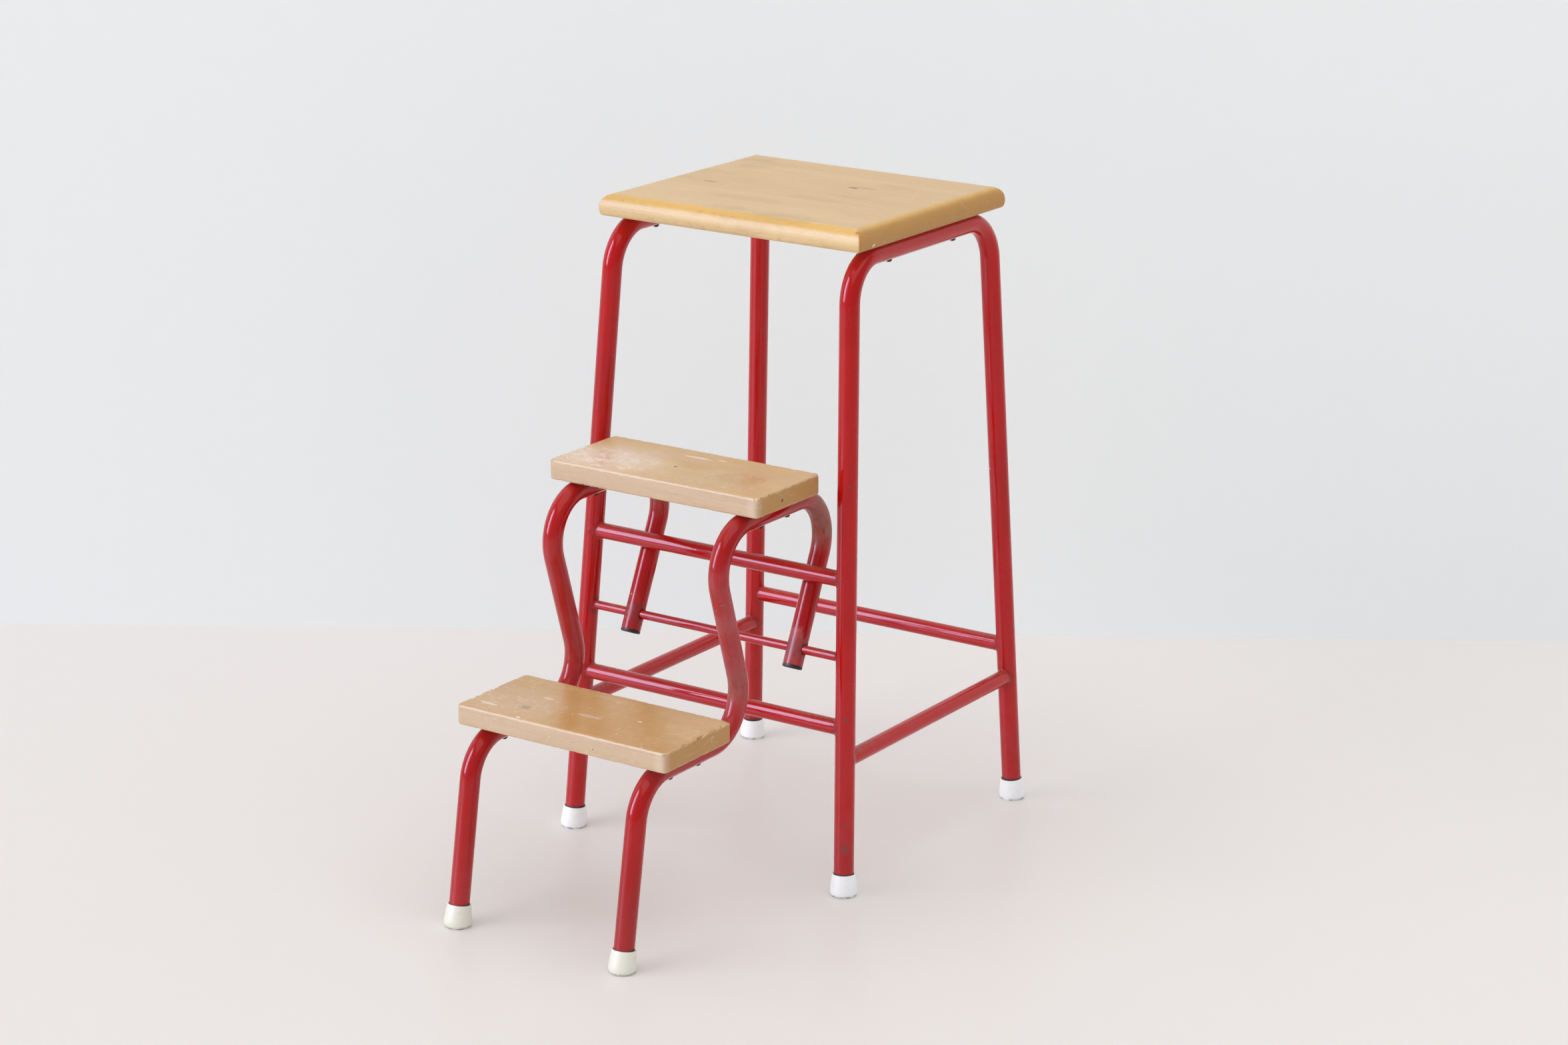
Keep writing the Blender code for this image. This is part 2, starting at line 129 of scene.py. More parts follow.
def length(description, default):
    """Setting for a length in metres."""
    return number(description, default, unit="LENGTH", precision=4)


def colour(description, *tone):
    """Setting for a colour, given in red, green and blue from 0 to 255 as it shows on a screen."""
    shares = [part / 255 for part in tone]
    linear = [c / 12.92 if c <= 0.04045 else ((c + 0.055) / 1.055) ** 2.4 for c in shares]
    return FloatVectorProperty(description=description, subtype="COLOR", size=3, min=0, max=1, default=linear)


@named
class FrameSizes(PropertyGroup):
    """Sizes of the side frames and of the welds on them."""

    foot_half_width: length("Half the legs' spacing sideways on the floor", 0.1653)
    foot_half_depth: length("Half the legs' spacing lengthways on the floor", 0.1664)
    top_half_width: length("Half the legs' spacing sideways under the seat", 0.1376)
    top_half_depth: length("Half the legs' spacing lengthways under the seat", 0.1300)
    bend_radius: length("Radius of each bend", 0.045)
    weld_width: length("Width of the rails' welds", 0.0022)


@named
class StepUnitSizes(PropertyGroup):
    """Sizes of the bent step tubes, measured forwards from the pivot rod."""

    half_spacing: length("Step tube to the centre", 0.0975)
    foot_ahead: length("Rod to the feet", 0.2935)
    front_corner_ahead: length("Rod to the lower step's front bend", 0.2649)
    riser_bottom_ahead: length("Rod to the riser's lower bend", 0.0848)
    riser_top_ahead: length("Rod to the riser's upper bend", 0.1544)
    tail_below_rod: length("Length of the tail below the rod", 0.0169)
    tube_wall: length("Thickness of the wall", 0.0015)
    tail_lean: number("Lean of the tail from upright", radians(23.9), subtype="ANGLE")


@named
class BoardSizes(PropertyGroup):
    """Shapes of the boards' edges."""

    seat_top_inset: length("How far the seat's upper edge is drawn in", 0.0135)
    seat_top_drop: length("How far the seat's upper edge rounds down", 0.0140)
    seat_bottom_inset: length("How far the seat's lower edge is drawn in", 0.0045)
    seat_bottom_rise: length("How far the seat's lower edge rounds up", 0.0075)
    seat_corner: length("Radius of the seat's corners", 0.0026)
    step_edge: length("Radius of the steps' upper and lower edges", 0.0020)
    step_corner: length("Radius of the steps' corners", 0.0056)
    chip_depth: length("Depth of the chips along the edges", 0.0020)


@named
class FittingSizes(PropertyGroup):
    """Sizes of the foot caps, the tail plugs and the screws."""

    cap_height: length("Height of a foot cap above the floor", 0.022)
    cap_base_radius: length("Radius of a foot cap at the floor", 0.0135)
    cap_band: length("Height at which a cap is widest", 0.006)
    cap_wall: length("Thickness of a cap's rim", 0.0013)
    plug_flange: length("Thickness of a plug's flange", 0.0031)
    plug_spigot: length("Length of a plug inside its tube", 0.008)
    head_diameter: length("Diameter of a screw's head", 0.0068)
    head_height: length("Height of a screw's head", 0.0018)
    recess_width: length("Width of the slots in a screw's head", 0.0011)
    recess_depth: length("Depth of the slots in a screw's head", 0.0010)


@named
class Finishes(PropertyGroup):
    """Colours of the stool's finishes."""

    enamel: colour("Red enamel on the tubes", 184, 6, 10)
    # Darker enamel: random mottling, and also painted shade laid all over the step tubes
    deep_enamel: colour("Enamel where it has darkened", 158, 5, 7)
    rubbed_enamel: colour("Enamel rubbed dull and chalky", 176, 116, 120)
    dust: colour("Dust settled on the rails", 136, 118, 102)
    # Dark colour for dirt, dents and dark marks; at the joints it is also painted shade, and over the caps'
    # rims a painted shadow line
    grime: colour("Dirt in the joints", 66, 52, 44)
    bare_metal: colour("Metal in the nicks", 84, 70, 64)
    seat_top: colour("Seat worn pale on top", 214, 184, 144)
    seat_shoulder: colour("Yellowed lacquer round the seat's top", 218, 170, 86)
    seat_nose: colour("Lacquered edge of the seat", 226, 197, 150)
    step_top: colour("Steps' worn tops", 217, 182, 132)
    step_lacquer: colour("Patches of old lacquer on the steps", 194, 148, 86)
    step_front: colour("Steps' long edges", 209, 182, 149)
    end_grain: colour("Darker wood on the ends", 186, 136, 72)
    wood_fleck: colour("Fine lines of the grain", 158, 116, 72)
    stain: colour("Greyish stains on the wood", 152, 124, 94)
    chalk: colour("Pale scuffs and specks", 240, 226, 216)
    cap: colour("White plastic of the stool's caps", 249, 251, 254)
    step_cap: colour("Yellowed plastic of the steps' caps", 232, 231, 219)
    cap_dirt: colour("Dirt round the caps' bases", 118, 120, 108)
    plug: colour("Black plastic of the tail plugs", 34, 32, 32)
    screw: colour("Dull steel of the screws", 84, 76, 70)


@named
class StageSettings(PropertyGroup):
    """Camera, lights, floor and wall."""

    lens: number("Focal length", 84.55, unit="CAMERA", min=10)
    azimuth: number("Camera's turn round the stool", 0.578440, subtype="ANGLE")
    elevation: number("Camera's height as an angle", 0.286981, subtype="ANGLE")
    roll: number("Camera's roll", 0.0119618, subtype="ANGLE")
    distance: length("Camera to its target", 3.7753)
    target_x: length("Target's place sideways", -0.018734)
    target_height: length("Target's height", 0.311169)
    wall_behind: length("Stool's centre to the wall", 0.60)
    skirting_height: length("Height of the skirting", 0.052)
    floor: colour("Pale floor", 229, 224, 221)
    wall: colour("Pale wall", 236, 240, 240)
    key_power: number("Power of the large light", 9300, unit="POWER")
    sheen_power: number("Power of the cold light seen in the gloss", 32000, unit="POWER")
    glint_power: number("Power of the window seen in the gloss", 180, unit="POWER")
    fill_power: number("Power of the light above", 46, unit="POWER")
    sky_strength: number("Strength of the even light all round", 0.67)


GROUPS = {
    "stool_frame": FrameSizes,
    "stool_steps": StepUnitSizes,
    "stool_boards": BoardSizes,
    "stool_fittings": FittingSizes,
    "stool_finishes": Finishes,
    "stool_stage": StageSettings,
}


# Meshes


def frame_of(origin, axis, reference=SIDEWAYS):
    """Matrix with local Z along the axis and local X as near to the reference as it can be."""
    local_z = axis.normalized()
    local_y = local_z.cross(reference).normalized()
    matrix = Matrix((local_y.cross(local_z), local_y, local_z)).transposed().to_4x4()
    matrix.translation = origin
    return matrix


def ring_on(bm, origin, axis, radius, reference):
    """Add a ring of edges round an axis."""
    matrix = frame_of(origin, axis, reference)
    made = bmesh.ops.create_circle(bm, segments=TUBE_SIDES, radius=radius, matrix=matrix)
    return list({edge for vert in made["verts"] for edge in vert.link_edges})


def extrude_ring(bm, edges, offset=Vector((0, 0, 0))):
    """Extrude a ring of edges and return the new ring."""
    made = bmesh.ops.extrude_edge_only(bm, edges=edges)["geom"]
    verts = {item for item in made if isinstance(item, BMVert)}
    bmesh.ops.translate(bm, vec=offset, verts=list(verts))
    return [item for item in made if isinstance(item, BMEdge) and verts.issuperset(item.verts)]


def close_ring(bm, edges):
    """Close a ring of edges with a face."""
    bmesh.ops.contextual_create(bm, geom=edges)


def ring_verts(edges):
    """Vertices of a ring of edges."""
    return list({vert for edge in edges for vert in edge.verts})


def run_straight(bm, edges, offset):
    """Extrude a ring along a straight run, in even steps."""
    steps = max(1, ceil(offset.length / RING_SPACING))
    for _ in range(steps):
        edges = extrude_ring(bm, edges, offset / steps)
    return edges


def run_tube(bm, corners, plane_normal):
    """Run a ring along a bent path and return its first and last ring."""
    bend_radius = settings("frame").bend_radius
    edges = first = ring_on(bm, corners[0], corners[1] - corners[0], TUBE_RADIUS, plane_normal)
    here = corners[0]
    for before, corner, after in zip(corners, corners[1:], corners[2:]):
        inward = (corner - before).normalized()
        outward = (after - corner).normalized()
        turn = inward.angle(outward)
        across = (outward - inward * outward.dot(inward)).normalized()
        tangent = bend_radius * tan(turn / 2)
        bend_start = corner - inward * tangent
        edges = run_straight(bm, edges, bend_start - here)
        spun = bmesh.ops.spin(
            bm,
            geom=ring_verts(edges) + edges,
            cent=bend_start + across * bend_radius,
            axis=inward.cross(outward).normalized(),
            angle=turn,
            steps=ceil(turn / radians(5)),
        )
        edges = [item for item in spun["geom_last"] if isinstance(item, BMEdge)]
        here = corner + outward * tangent
    return first, run_straight(bm, edges, corners[-1] - here)


def turned(outline, origin, axis):
    """Turn an outline of (radius, height) points about an axis into a closed shape."""
    bm = bmesh.new()
    matrix = frame_of(origin, axis)
    verts = [bm.verts.new(matrix @ Vector((radius, 0, height))) for radius, height in outline]
    edges = [bm.edges.new(pair) for pair in zip(verts, verts[1:])]
    bmesh.ops.spin(bm, geom=verts + edges, cent=origin, axis=axis, angle=2 * pi, steps=40, use_merge=True)
    bmesh.ops.remove_doubles(bm, verts=bm.verts, dist=MERGE_DISTANCE)
    loose = [edge for edge in bm.edges if not edge.link_faces]
    bmesh.ops.delete(bm, geom=loose, context="EDGES")
    return bm


def arc(centre_radius, centre_height, radius, start, end, steps):
    """Points of an arc in an outline, from one angle to another."""
    turns = [radians(start + (end - start) * step / steps) for step in range(steps + 1)]
    return [(centre_radius + radius * cos(turn), centre_height + radius * sin(turn)) for turn in turns]


def add_object(name, data):
    """Put a mesh, a light or a camera into the scene."""
    made = bpy.data.objects.new(name, data)
    bpy.context.scene.collection.objects.link(made)
    return made


def mesh_object(name, bm):
    """Turn a bmesh in world coordinates into an object."""
    mesh = bpy.data.meshes.new(name)
    bm.to_mesh(mesh)
    bm.free()
    return add_object(name, mesh)


def make_object(name, bm, smooth_angle=40, wall=None):
    """Make a smoothly shaded object that faces outwards, with a wall inwards from an open skin."""
    bmesh.ops.remove_doubles(bm, verts=bm.verts, dist=MERGE_DISTANCE)
    bmesh.ops.recalc_face_normals(bm, faces=bm.faces)
    if wall:
        bmesh.ops.solidify(bm, geom=list(bm.faces), thickness=wall)
    made = mesh_object(name, bm)
    made.data.shade_smooth()
    made.data.set_sharp_from_angle(angle=radians(smooth_angle))
    return made


def seat_piece(piece, material, body, node):
    """Give a piece its material and its place on a body of the frame."""
    piece.data.materials.clear()
    piece.data.materials.append(material)
    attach(piece, body)
    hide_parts(node)


def bore(piece, centre, axis, radius):
    """Cut a round hole through a piece, as long as the axis."""
    bm = bmesh.new()
    size = {"radius1": radius, "radius2": radius, "depth": axis.length}
    bmesh.ops.create_cone(bm, cap_ends=True, segments=24, matrix=frame_of(centre, axis, UP), **size)
    cutter = make_object("hole_cutter", bm)
    modifier = piece.modifiers.new("hole", "BOOLEAN")
    modifier.operation = "DIFFERENCE"
    modifier.solver = "EXACT"
    modifier.object = cutter
    depsgraph = bpy.context.evaluated_depsgraph_get()
    cut_mesh = bpy.data.meshes.new_from_object(piece.evaluated_get(depsgraph))
    piece.modifiers.clear()
    piece.data = cut_mesh
    bpy.data.objects.remove(cutter, do_unlink=True)


# Places on the stool


def leg_point(side, end, height):
    """Point on a leg's middle line at a height."""
    sizes = settings("frame")
    share = height / RUN_HEIGHT
    x = sizes.foot_half_width + (sizes.top_half_width - sizes.foot_half_width) * share
    y = sizes.foot_half_depth + (sizes.top_half_depth - sizes.foot_half_depth) * share
    return Vector((side * x, FRAME_Y + end * y, height))


def leg_axis(side, end):
    """Direction of a leg, pointing up."""
    return (leg_point(side, end, RUN_HEIGHT) - leg_point(side, end, 0)).normalized()


def step_point(side, ahead, height):
    """Point in the plane of a step tube, a distance ahead of the rod."""
    return Vector((side * settings("steps").half_spacing, PIVOT.y - ahead, height))


def tail_axis():
    """Direction of the tails, pointing down."""
    lean = settings("steps").tail_lean
    return Vector((0, -sin(lean), -cos(lean)))


def rail_ends(node):
    """The two legs, as (side, end), that a rail or the rod joins."""
    if node.endswith("_side_rail"):
        side = SIDES[node.split("_")[0]]
        return (side, -1), (side, 1)
    end = ENDS["rear"] if node == "rear_rail" else ENDS["front"]
    return (-1, end), (1, end)


def weld_points(leg):
    """Where the rails and the rod meet one leg's skin."""
    points = []
    for node in (*RAILS, "pivot_rod"):
        legs = rail_ends(node)
        if leg in legs:
            height = middle(node).z
            here = leg_point(*leg, height)
            other = leg_point(*legs[legs[0] == leg], height)
            points.append(here + (other - here).normalized() * TUBE_RADIUS)
    return points


# Stains and painted shade, written on each point of a piece for its material to read


def fade(distance, near, far):
    """1 up to the near distance, and smoothly down to 0 at the far one."""
    share = min(max((far - distance) / (far - near), 0), 1)
    return share * share * (3 - 2 * share)


def record_stain(piece, name, spots, level=lambda point: 0):
    """Write a stain: round spots (centre, distances where it is full and gone, strength) or a level."""

    def strongest(point):
        shares = [fade((point - centre).length, near, far) * share for centre, near, far, share in spots]
        return max([level(point), *shares])

    stain = piece.data.attributes.new(name, "FLOAT", "POINT")
    stain.data.foreach_set("value", [strongest(vertex.co) for vertex in piece.data.vertices])


def rim_dirt(point):
    """Level of the thin dark line over a cap's rim: painted shadow of the gap between cap and tube, with some
    dirt.
    """
    return 2 * fade(abs(point.z - settings("fittings").cap_height), 0.0010, 0.0022)


# Shader nodes


def joined(operation, swapped=False):
    """Method that joins a value to another one by a maths node."""

    def method(self, other=0.0):
        pair = (other, self) if swapped else (self, other)
        return self.nodes.add("ShaderNodeMath", dict(enumerate(pair)), operation=operation)

    return method


class Value:
    """Output of a shader node, to calculate with. The larger of two values is a | b, the smaller a & b."""

    __add__ = joined("ADD")
    __sub__ = joined("SUBTRACT")
    __rsub__ = joined("SUBTRACT", swapped=True)
    __mul__ = joined("MULTIPLY")
    __lt__ = joined("LESS_THAN")
    __abs__ = joined("ABSOLUTE")
    __or__ = joined("MAXIMUM")
    __and__ = joined("MINIMUM")

    def __init__(self, nodes, socket):
        self.nodes = nodes
        self.socket = socket

    def remap(self, low, high, to_low=0.0, to_high=1.0):
        """This value moved smoothly from one range to another."""
        inputs = {"Value": self, "From Min": low, "From Max": high, "To Min": to_low, "To Max": to_high}
        return self.nodes.add("ShaderNodeMapRange", inputs, interpolation_type="SMOOTHSTEP")


class NodeTree:
    """Short calls for building a tree of shader nodes."""

    def __init__(self, tree):
        self.tree = tree

    def feed(self, sockets, values):
        """Link values to sockets, or set the sockets' own numbers."""
        for name, value in values.items():
            if isinstance(value, Value):
                self.tree.links.new(value.socket, sockets[name])
            else:
                sockets[name].default_value = value

    def outputs(self, kind, inputs=None, **settings):
        """Add a node, set it, feed it and return its outputs by name."""
        node = self.tree.nodes.new(kind)
        for name, value in settings.items():
            setattr(node, name, value)
        self.feed(node.inputs, inputs or {})
        return node.outputs

    def add(self, kind, inputs=None, output=0, **settings):
        """Add a node and return one of its outputs."""
        return Value(self, self.outputs(kind, inputs, **settings)[output])

    def vector(self, operation, first, second=(0, 0, 0), output=0):
        """Result of a calculation with vectors."""
        return self.add("ShaderNodeVectorMath", {0: first, 1: second}, output, operation=operation)

    def parts(self, vector):
        """A vector's parts along the three axes."""
        return [Value(self, socket) for socket in self.outputs("ShaderNodeSeparateXYZ", {"Vector": vector})]

    def place(self):
        """Point on the piece, in metres."""
        return self.add("ShaderNodeTexCoord", output="Object")

    def normal(self):
        """Direction that the surface faces, on the piece."""
        return self.add("ShaderNodeTexCoord", output="Normal")

    def noise(self, scale, detail=2.0, roughness=0.5, distortion=0.0, stretch=(1.0, 1.0, 1.0)):
        """Soft noise over the piece, counted closer or wider along each axis."""
        place = self.vector("MULTIPLY", self.place(), stretch)
        inputs = {"Vector": place, "Scale": scale, "Detail": detail, "Roughness": roughness}
        return self.add("ShaderNodeTexNoise", {**inputs, "Distortion": distortion}, "Fac")

    def around(self, centre, reach):
        """Distance from a point, counted in its reach along each axis."""
        offset = self.vector("SUBTRACT", self.place(), centre)
        return self.vector("LENGTH", self.vector("DIVIDE", offset, reach), output="Value")

    def effect(self, build, **inputs):
        """Place a shared effect, built at its first use, and return its outputs."""
        name = words(build.__name__)
        if name not in bpy.data.node_groups:
            build_group(name, build)
        inputs = {words(key): value for key, value in inputs.items()}
        outputs = self.outputs("ShaderNodeGroup", node_tree=bpy.data.node_groups[name])
        self.feed(outputs[0].node.inputs, inputs)
        return [Value(self, socket) for socket in outputs]


def build_group(name, build):
    """Make a node group with an input for each argument of a function and an output for each result."""
    tree = bpy.data.node_groups.new(name, "ShaderNodeTree")
    kinds = {words(key): kind for key, kind in build.__annotations__.items()}
    for key, kind in kinds.items():
        tree.interface.new_socket(name=key, in_out="INPUT", socket_type=f"NodeSocket{kind}")
    nodes = NodeTree(tree)
    given = nodes.outputs("NodeGroupInput")
    results = build(nodes, *(Value(nodes, given[key]) for key in kinds))
    for key in results:
        tree.interface.new_socket(name=key, in_out="OUTPUT", socket_type="NodeSocketFloat")
    nodes.feed(tree.nodes.new("NodeGroupOutput").inputs, results)


# Shared effects, whose arguments are marked with the kind of their socket


def settled_dust(nodes, amount: "Float", scale: "Float"):
    """Dust that settles on what faces up, in uneven patches."""
    facing = nodes.parts(nodes.normal())[2].remap(0.45, 0.98)
    patches = nodes.noise(scale, 8, 0.7).remap(0.32, 0.72, 0.25, 1.0)
    return {"Mask": facing * patches * amount}


def rubbed_patches(nodes, coverage: "Float", scale: "Float"):
    """Ragged patches where a surface has been rubbed."""
    edge = 0.78 - coverage * 0.5
    return {"Mask": nodes.noise(scale, 9, 0.72).remap(edge, edge + 0.14)}


def scattered_spots(nodes, scale: "Float", size: "Float", share: "Float"):
    """Small scattered spots, such as nicks, specks and pores."""
    place = nodes.place()
    inputs = {"Vector": place, "Scale": 420.0, "Detail": 2.0}
    wobble = nodes.add("ShaderNodeTexNoise", inputs, "Color")
    moved = nodes.vector("ADD", place, nodes.vector("MULTIPLY", wobble, (0.0016, 0.0016, 0.0016)))
    cells = nodes.outputs("ShaderNodeTexVoronoi", {"Vector": moved, "Scale": scale})
    chance, chance_of_size, _ = nodes.parts(Value(nodes, cells["Color"]))
    reach = size * chance_of_size.remap(0, 1, 0.35, 1.0)
    spot = Value(nodes, cells["Distance"]).remap(reach, reach * 0.6)
    return {"Mask": spot * (chance < share)}


def hairline_scratches(nodes, scale: "Float", width: "Float", coverage: "Float"):
    """Fine hairline scratches in patches."""
    bands = nodes.noise(scale, 1.5, 0.4, 0.5, stretch=(1.0, 0.35, 1.0))
    line = abs(bands - 0.5).remap(width, 0.0)
    edge = 0.7 - coverage * 0.4
    return {"Mask": line * nodes.noise(38.0, 3).remap(edge, edge + 0.1)}


def board_edge(nodes, centre: "Vector", half_size: "Vector", reach: "Float"):
    """How near a point of a board is to the board's nearest edge."""
    inside = nodes.vector("ABSOLUTE", nodes.vector("SUBTRACT", nodes.place(), centre))
    x, y, z = nodes.parts(nodes.vector("SUBTRACT", half_size, inside))
    second_smallest = (x & y) | ((x | y) & z)
    return {"Mask": second_smallest.remap(reach, 0.0)}


def wood_grain(nodes, twist: "Float"):
    """Wood grain that runs sideways: broad figure, fine lines and short flecks."""
    return {
        "Figure": nodes.noise(1.0, 4, 0.55, twist, stretch=(2.2, 22.0, 22.0)).remap(0.32, 0.68),
        "Lines": nodes.noise(1.0, 3, 0.6, stretch=(9.0, 420.0, 420.0)).remap(0.42, 0.72),
        "Flecks": nodes.noise(1.0, 1, 0.5, stretch=(150.0, 1500.0, 1500.0)).remap(0.60, 0.74),
    }


# Materials


def tone(finish, group="finishes"):
    """One of the colours in the settings, with full alpha."""
    return (*getattr(settings(group), finish), 1.0)


class Coating(NodeTree):
    """Material whose finishes are laid one over another."""

    def __init__(self, name, first_finish, group="finishes"):
        self.material = bpy.data.materials.new(name)
        self.material.use_nodes = True
        super().__init__(self.material.node_tree)
        self.shader = self.tree.nodes["Principled BSDF"]
        self.base = tone(first_finish, group)

    def lay(self, finish, strength):
        """Lay a finish over the ones before."""
        inputs = {0: strength, 6: self.base, 7: tone(finish)}
        self.base = self.add("ShaderNodeMix", inputs, 2, data_type="RGBA", clamp_factor=True)

    def lay_marks(self, marks):
        """Lay single ragged marks, each a finish, a centre, a reach along each axis and a strength."""
        ragged = self.noise(330.0, 4, 0.7, stretch=(0.5, 1.0, 1.0))
        for finish, centre, reach, strength in marks:
            inside = self.around(centre, reach).remap(1.0, 0.25)
            self.lay(finish, (inside + ragged).remap(0.75, 1.15, 0.0, strength))

    def lay_grain(self, contrast):
        """Lay the wood's grain and return its fine lines."""
        figure, lines, flecks = self.effect(wood_grain, twist=0.8)
        for grain, strength in ((figure, 0.18), (lines, 0.16), (flecks, 0.30)):
            self.lay("wood_fleck", grain * (strength * contrast))
        return lines

    def mask(self, build, **inputs):
        """Place a shared effect that has one output."""
        return self.effect(build, **inputs)[0]

    def edge_of(self, node, reach):
        """Mask of the strip along a board's edges."""
        low, high = BOXES[node]
        return self.mask(board_edge, centre=(low + high) / 2, half_size=(high - low) / 2, reach=reach)

    def stain(self, name):
        """Level of a stain written on the piece's points."""
        return self.add("ShaderNodeAttribute", output="Fac", attribute_name=name)

    def finished(self, strength, depth, height, inputs):
        """Feed the shader, with a bump from a height, and return the material."""
        bump = self.add("ShaderNodeBump", {"Strength": strength, "Distance": depth, "Height": height})
        self.feed(self.shader.inputs, {"Base Color": self.base, "Normal": bump, **inputs})
        return self.material


def enamel(name, rubbing, dust, nicks, painted_shade=0.0, marks=()):
    """Glossy red enamel with dust, rubbed patches, nicks, dirt with painted shade in the joints, a painted
    shadow line over the caps' rims, and painted shade all over where asked.
    """
    coat = Coating(name, "enamel")
    # Random darker mottling, raised by the painted shade argument into painted shade all over
    coat.lay("deep_enamel", coat.noise(9.0, 3).remap(0.4, 0.75, painted_shade, painted_shade + 0.5))

    worn = coat.stain("rubbed")
    cloudy = coat.noise(28.0, 6, 0.6).remap(0.3, 0.75, 0.35, 1.0)
    patches = coat.mask(rubbed_patches, coverage=worn * 0.55, scale=150.0)
    chalky = worn * cloudy * rubbing | patches * rubbing
    coat.lay("rubbed_enamel", chalky)
    scratches = coat.mask(hairline_scratches, scale=110.0, width=0.010, coverage=0.6)
    coat.lay("rubbed_enamel", scratches * 0.08)

    settled = coat.mask(settled_dust, amount=(coat.stain("dusty") + 0.2) * dust, scale=240.0)
    coat.lay("dust", settled)
    streaky = coat.noise(170.0, 8, 0.72, stretch=(1.0, 1.0, 0.4)).remap(0.36, 0.62, 0.2, 0.9)
    smear = coat.stain("smeared") * streaky
    coat.lay("dust", smear)
    # Dirt with painted shade round the welds and the rod's holes, and a painted shadow line over the caps'
    # rims
    dirt = coat.stain("grime") * coat.noise(260.0, 4, 0.7).remap(0.3, 0.6)
    coat.lay("grime", dirt * 0.8)

    dark_spots = coat.mask(scattered_spots, scale=130.0, size=0.17, share=nicks)
    coat.lay("bare_metal", dark_spots * 0.8)
    pale_spots = coat.mask(scattered_spots, scale=90.0, size=0.09, share=nicks)
    coat.lay("chalk", pale_spots * 0.55)
    coat.lay_marks(marks)

    dull = chalky | settled | dirt | smear
    peel = coat.noise(260.0, 2) * 0.08
    inputs = {
        "Roughness": dull.remap(0.0, 0.8, 0.13, 0.55),
        "Specular IOR Level": 0.34,
        "Coat Roughness": 0.08,
        "Coat Weight": dull.remap(0.0, 0.4, 0.12, 0.0),
    }
    return coat.finished(0.3, 0.0004, peel - dark_spots * 0.5 + dirt * 0.25, inputs)


def marks_on(node, *marks):
    """Marks on a board: finish, centre, depth below the top, reach along each axis and strength."""
    top = BOXES[node][1].z
    return [(finish, (x, y, top - depth), reach, strength) for finish, x, y, depth, reach, strength in marks]


SEAT_MARKS = marks_on(
    "seat_board",
    ("grime", 0.035, 0.177, 0, (0.008, 0.0035, 0.004), 0.75),
    ("stain", 0.046, 0.182, 0, (0.022, 0.0040, 0.004), 0.5),
    ("stain", -0.099, 0.120, 0, (0.013, 0.0045, 0.004), 0.6),
    ("stain", 0.034, 0.110, 0, (0.050, 0.014, 0.004), 0.14),
    ("stain", -0.020, 0.070, 0, (0.070, 0.014, 0.004), 0.12),
    ("stain", 0.1465, 0.0080, 0.005, (0.0035, 0.0035, 0.0050), 0.7),
    ("chalk", 0.153, 0.028, 0.018, (0.003, 0.004, 0.003), 0.6),
)
STEP_MARKS = {
    "upper_step_board": marks_on(
        "upper_step_board",
        ("chalk", -0.006, -0.034, 0, (0.024, 0.004, 0.003), 0.6),
        ("chalk", 0.020, -0.030, 0, (0.008, 0.003, 0.003), 0.6),
        ("step_lacquer", 0.070, -0.074, 0, (0.040, 0.026, 0.003), 0.55),
        ("step_lacquer", 0.010, -0.060, 0, (0.034, 0.018, 0.003), 0.35),
        ("grime", -0.006, -0.073, 0, (0.0026, 0.0026, 0.003), 1.0),
        ("grime", 0.1225, -0.080, 0.011, (0.003, 0.003, 0.0025), 0.8),
    ),
    "lower_step_board": marks_on(
        "lower_step_board",
        ("stain", -0.063, -0.241, 0, (0.010, 0.007, 0.003), 0.7),
        ("chalk", -0.051, -0.268, 0, (0.003, 0.003, 0.003), 0.9),
        ("chalk", -0.098, -0.252, 0, (0.016, 0.003, 0.003), 0.6),
        ("chalk", -0.060, -0.208, 0, (0.008, 0.002, 0.003), 0.7),
        ("chalk", 0.003, -0.227, 0, (0.022, 0.005, 0.003), 0.28),
        ("chalk", 0.051, -0.212, 0, (0.004, 0.002, 0.003), 0.8),
        ("seat_top", 0.095, -0.206, 0, (0.028, 0.013, 0.003), 0.15),
        ("step_lacquer", -0.013, -0.245, 0, (0.030, 0.018, 0.003), 0.7),
    ),
}


def seat_wood():
    """Seat wood, worn pale and dull on top, with yellowed lacquer left where its edge begins to round."""
    coat = Coating("seat_lacquered_wood", "seat_nose")
    sideways, _, upward = coat.parts(coat.normal())
    uneven = (coat.noise(45.0, 5, 0.65) - 0.5) * 0.12
    level = upward + uneven
    top = level.remap(0.935, 0.985)
    coat.lay("seat_top", top)
    coat.lay("seat_shoulder", level.remap(0.42, 0.74) * (1.0 - top) * 0.75)
    coat.lay("end_grain", abs(sideways).remap(0.35, 0.85) * 0.92)
    lines = coat.lay_grain(0.7)
    coat.lay("stain", coat.noise(13.0, 7, 0.68, stretch=(0.6, 1.0, 1.0)).remap(0.52, 0.78) * 0.38)

    dents = coat.mask(scattered_spots, scale=75.0, size=0.10, share=0.07)
    coat.lay("grime", dents * 0.5)
    coat.lay_marks(SEAT_MARKS)
    rubbed = coat.mask(rubbed_patches, coverage=0.5, scale=120.0)
    coat.lay("stain", coat.edge_of("seat_board", 0.010) * rubbed * 0.4)
    scratches = coat.mask(hairline_scratches, scale=60.0, width=0.008, coverage=0.6)
    coat.lay("chalk", scratches * 0.16)

    inputs = {
        "Roughness": top.remap(0.0, 1.0, 0.36, 0.46) + uneven * 0.6,
        "Specular IOR Level": 0.11,
        "Coat Roughness": 0.18,
        "Coat Weight": top.remap(0.0, 1.0, 0.04, 0.03),
    }
    return coat.finished(0.25, 0.0005, lines * -0.2 - dents * 0.6, inputs)


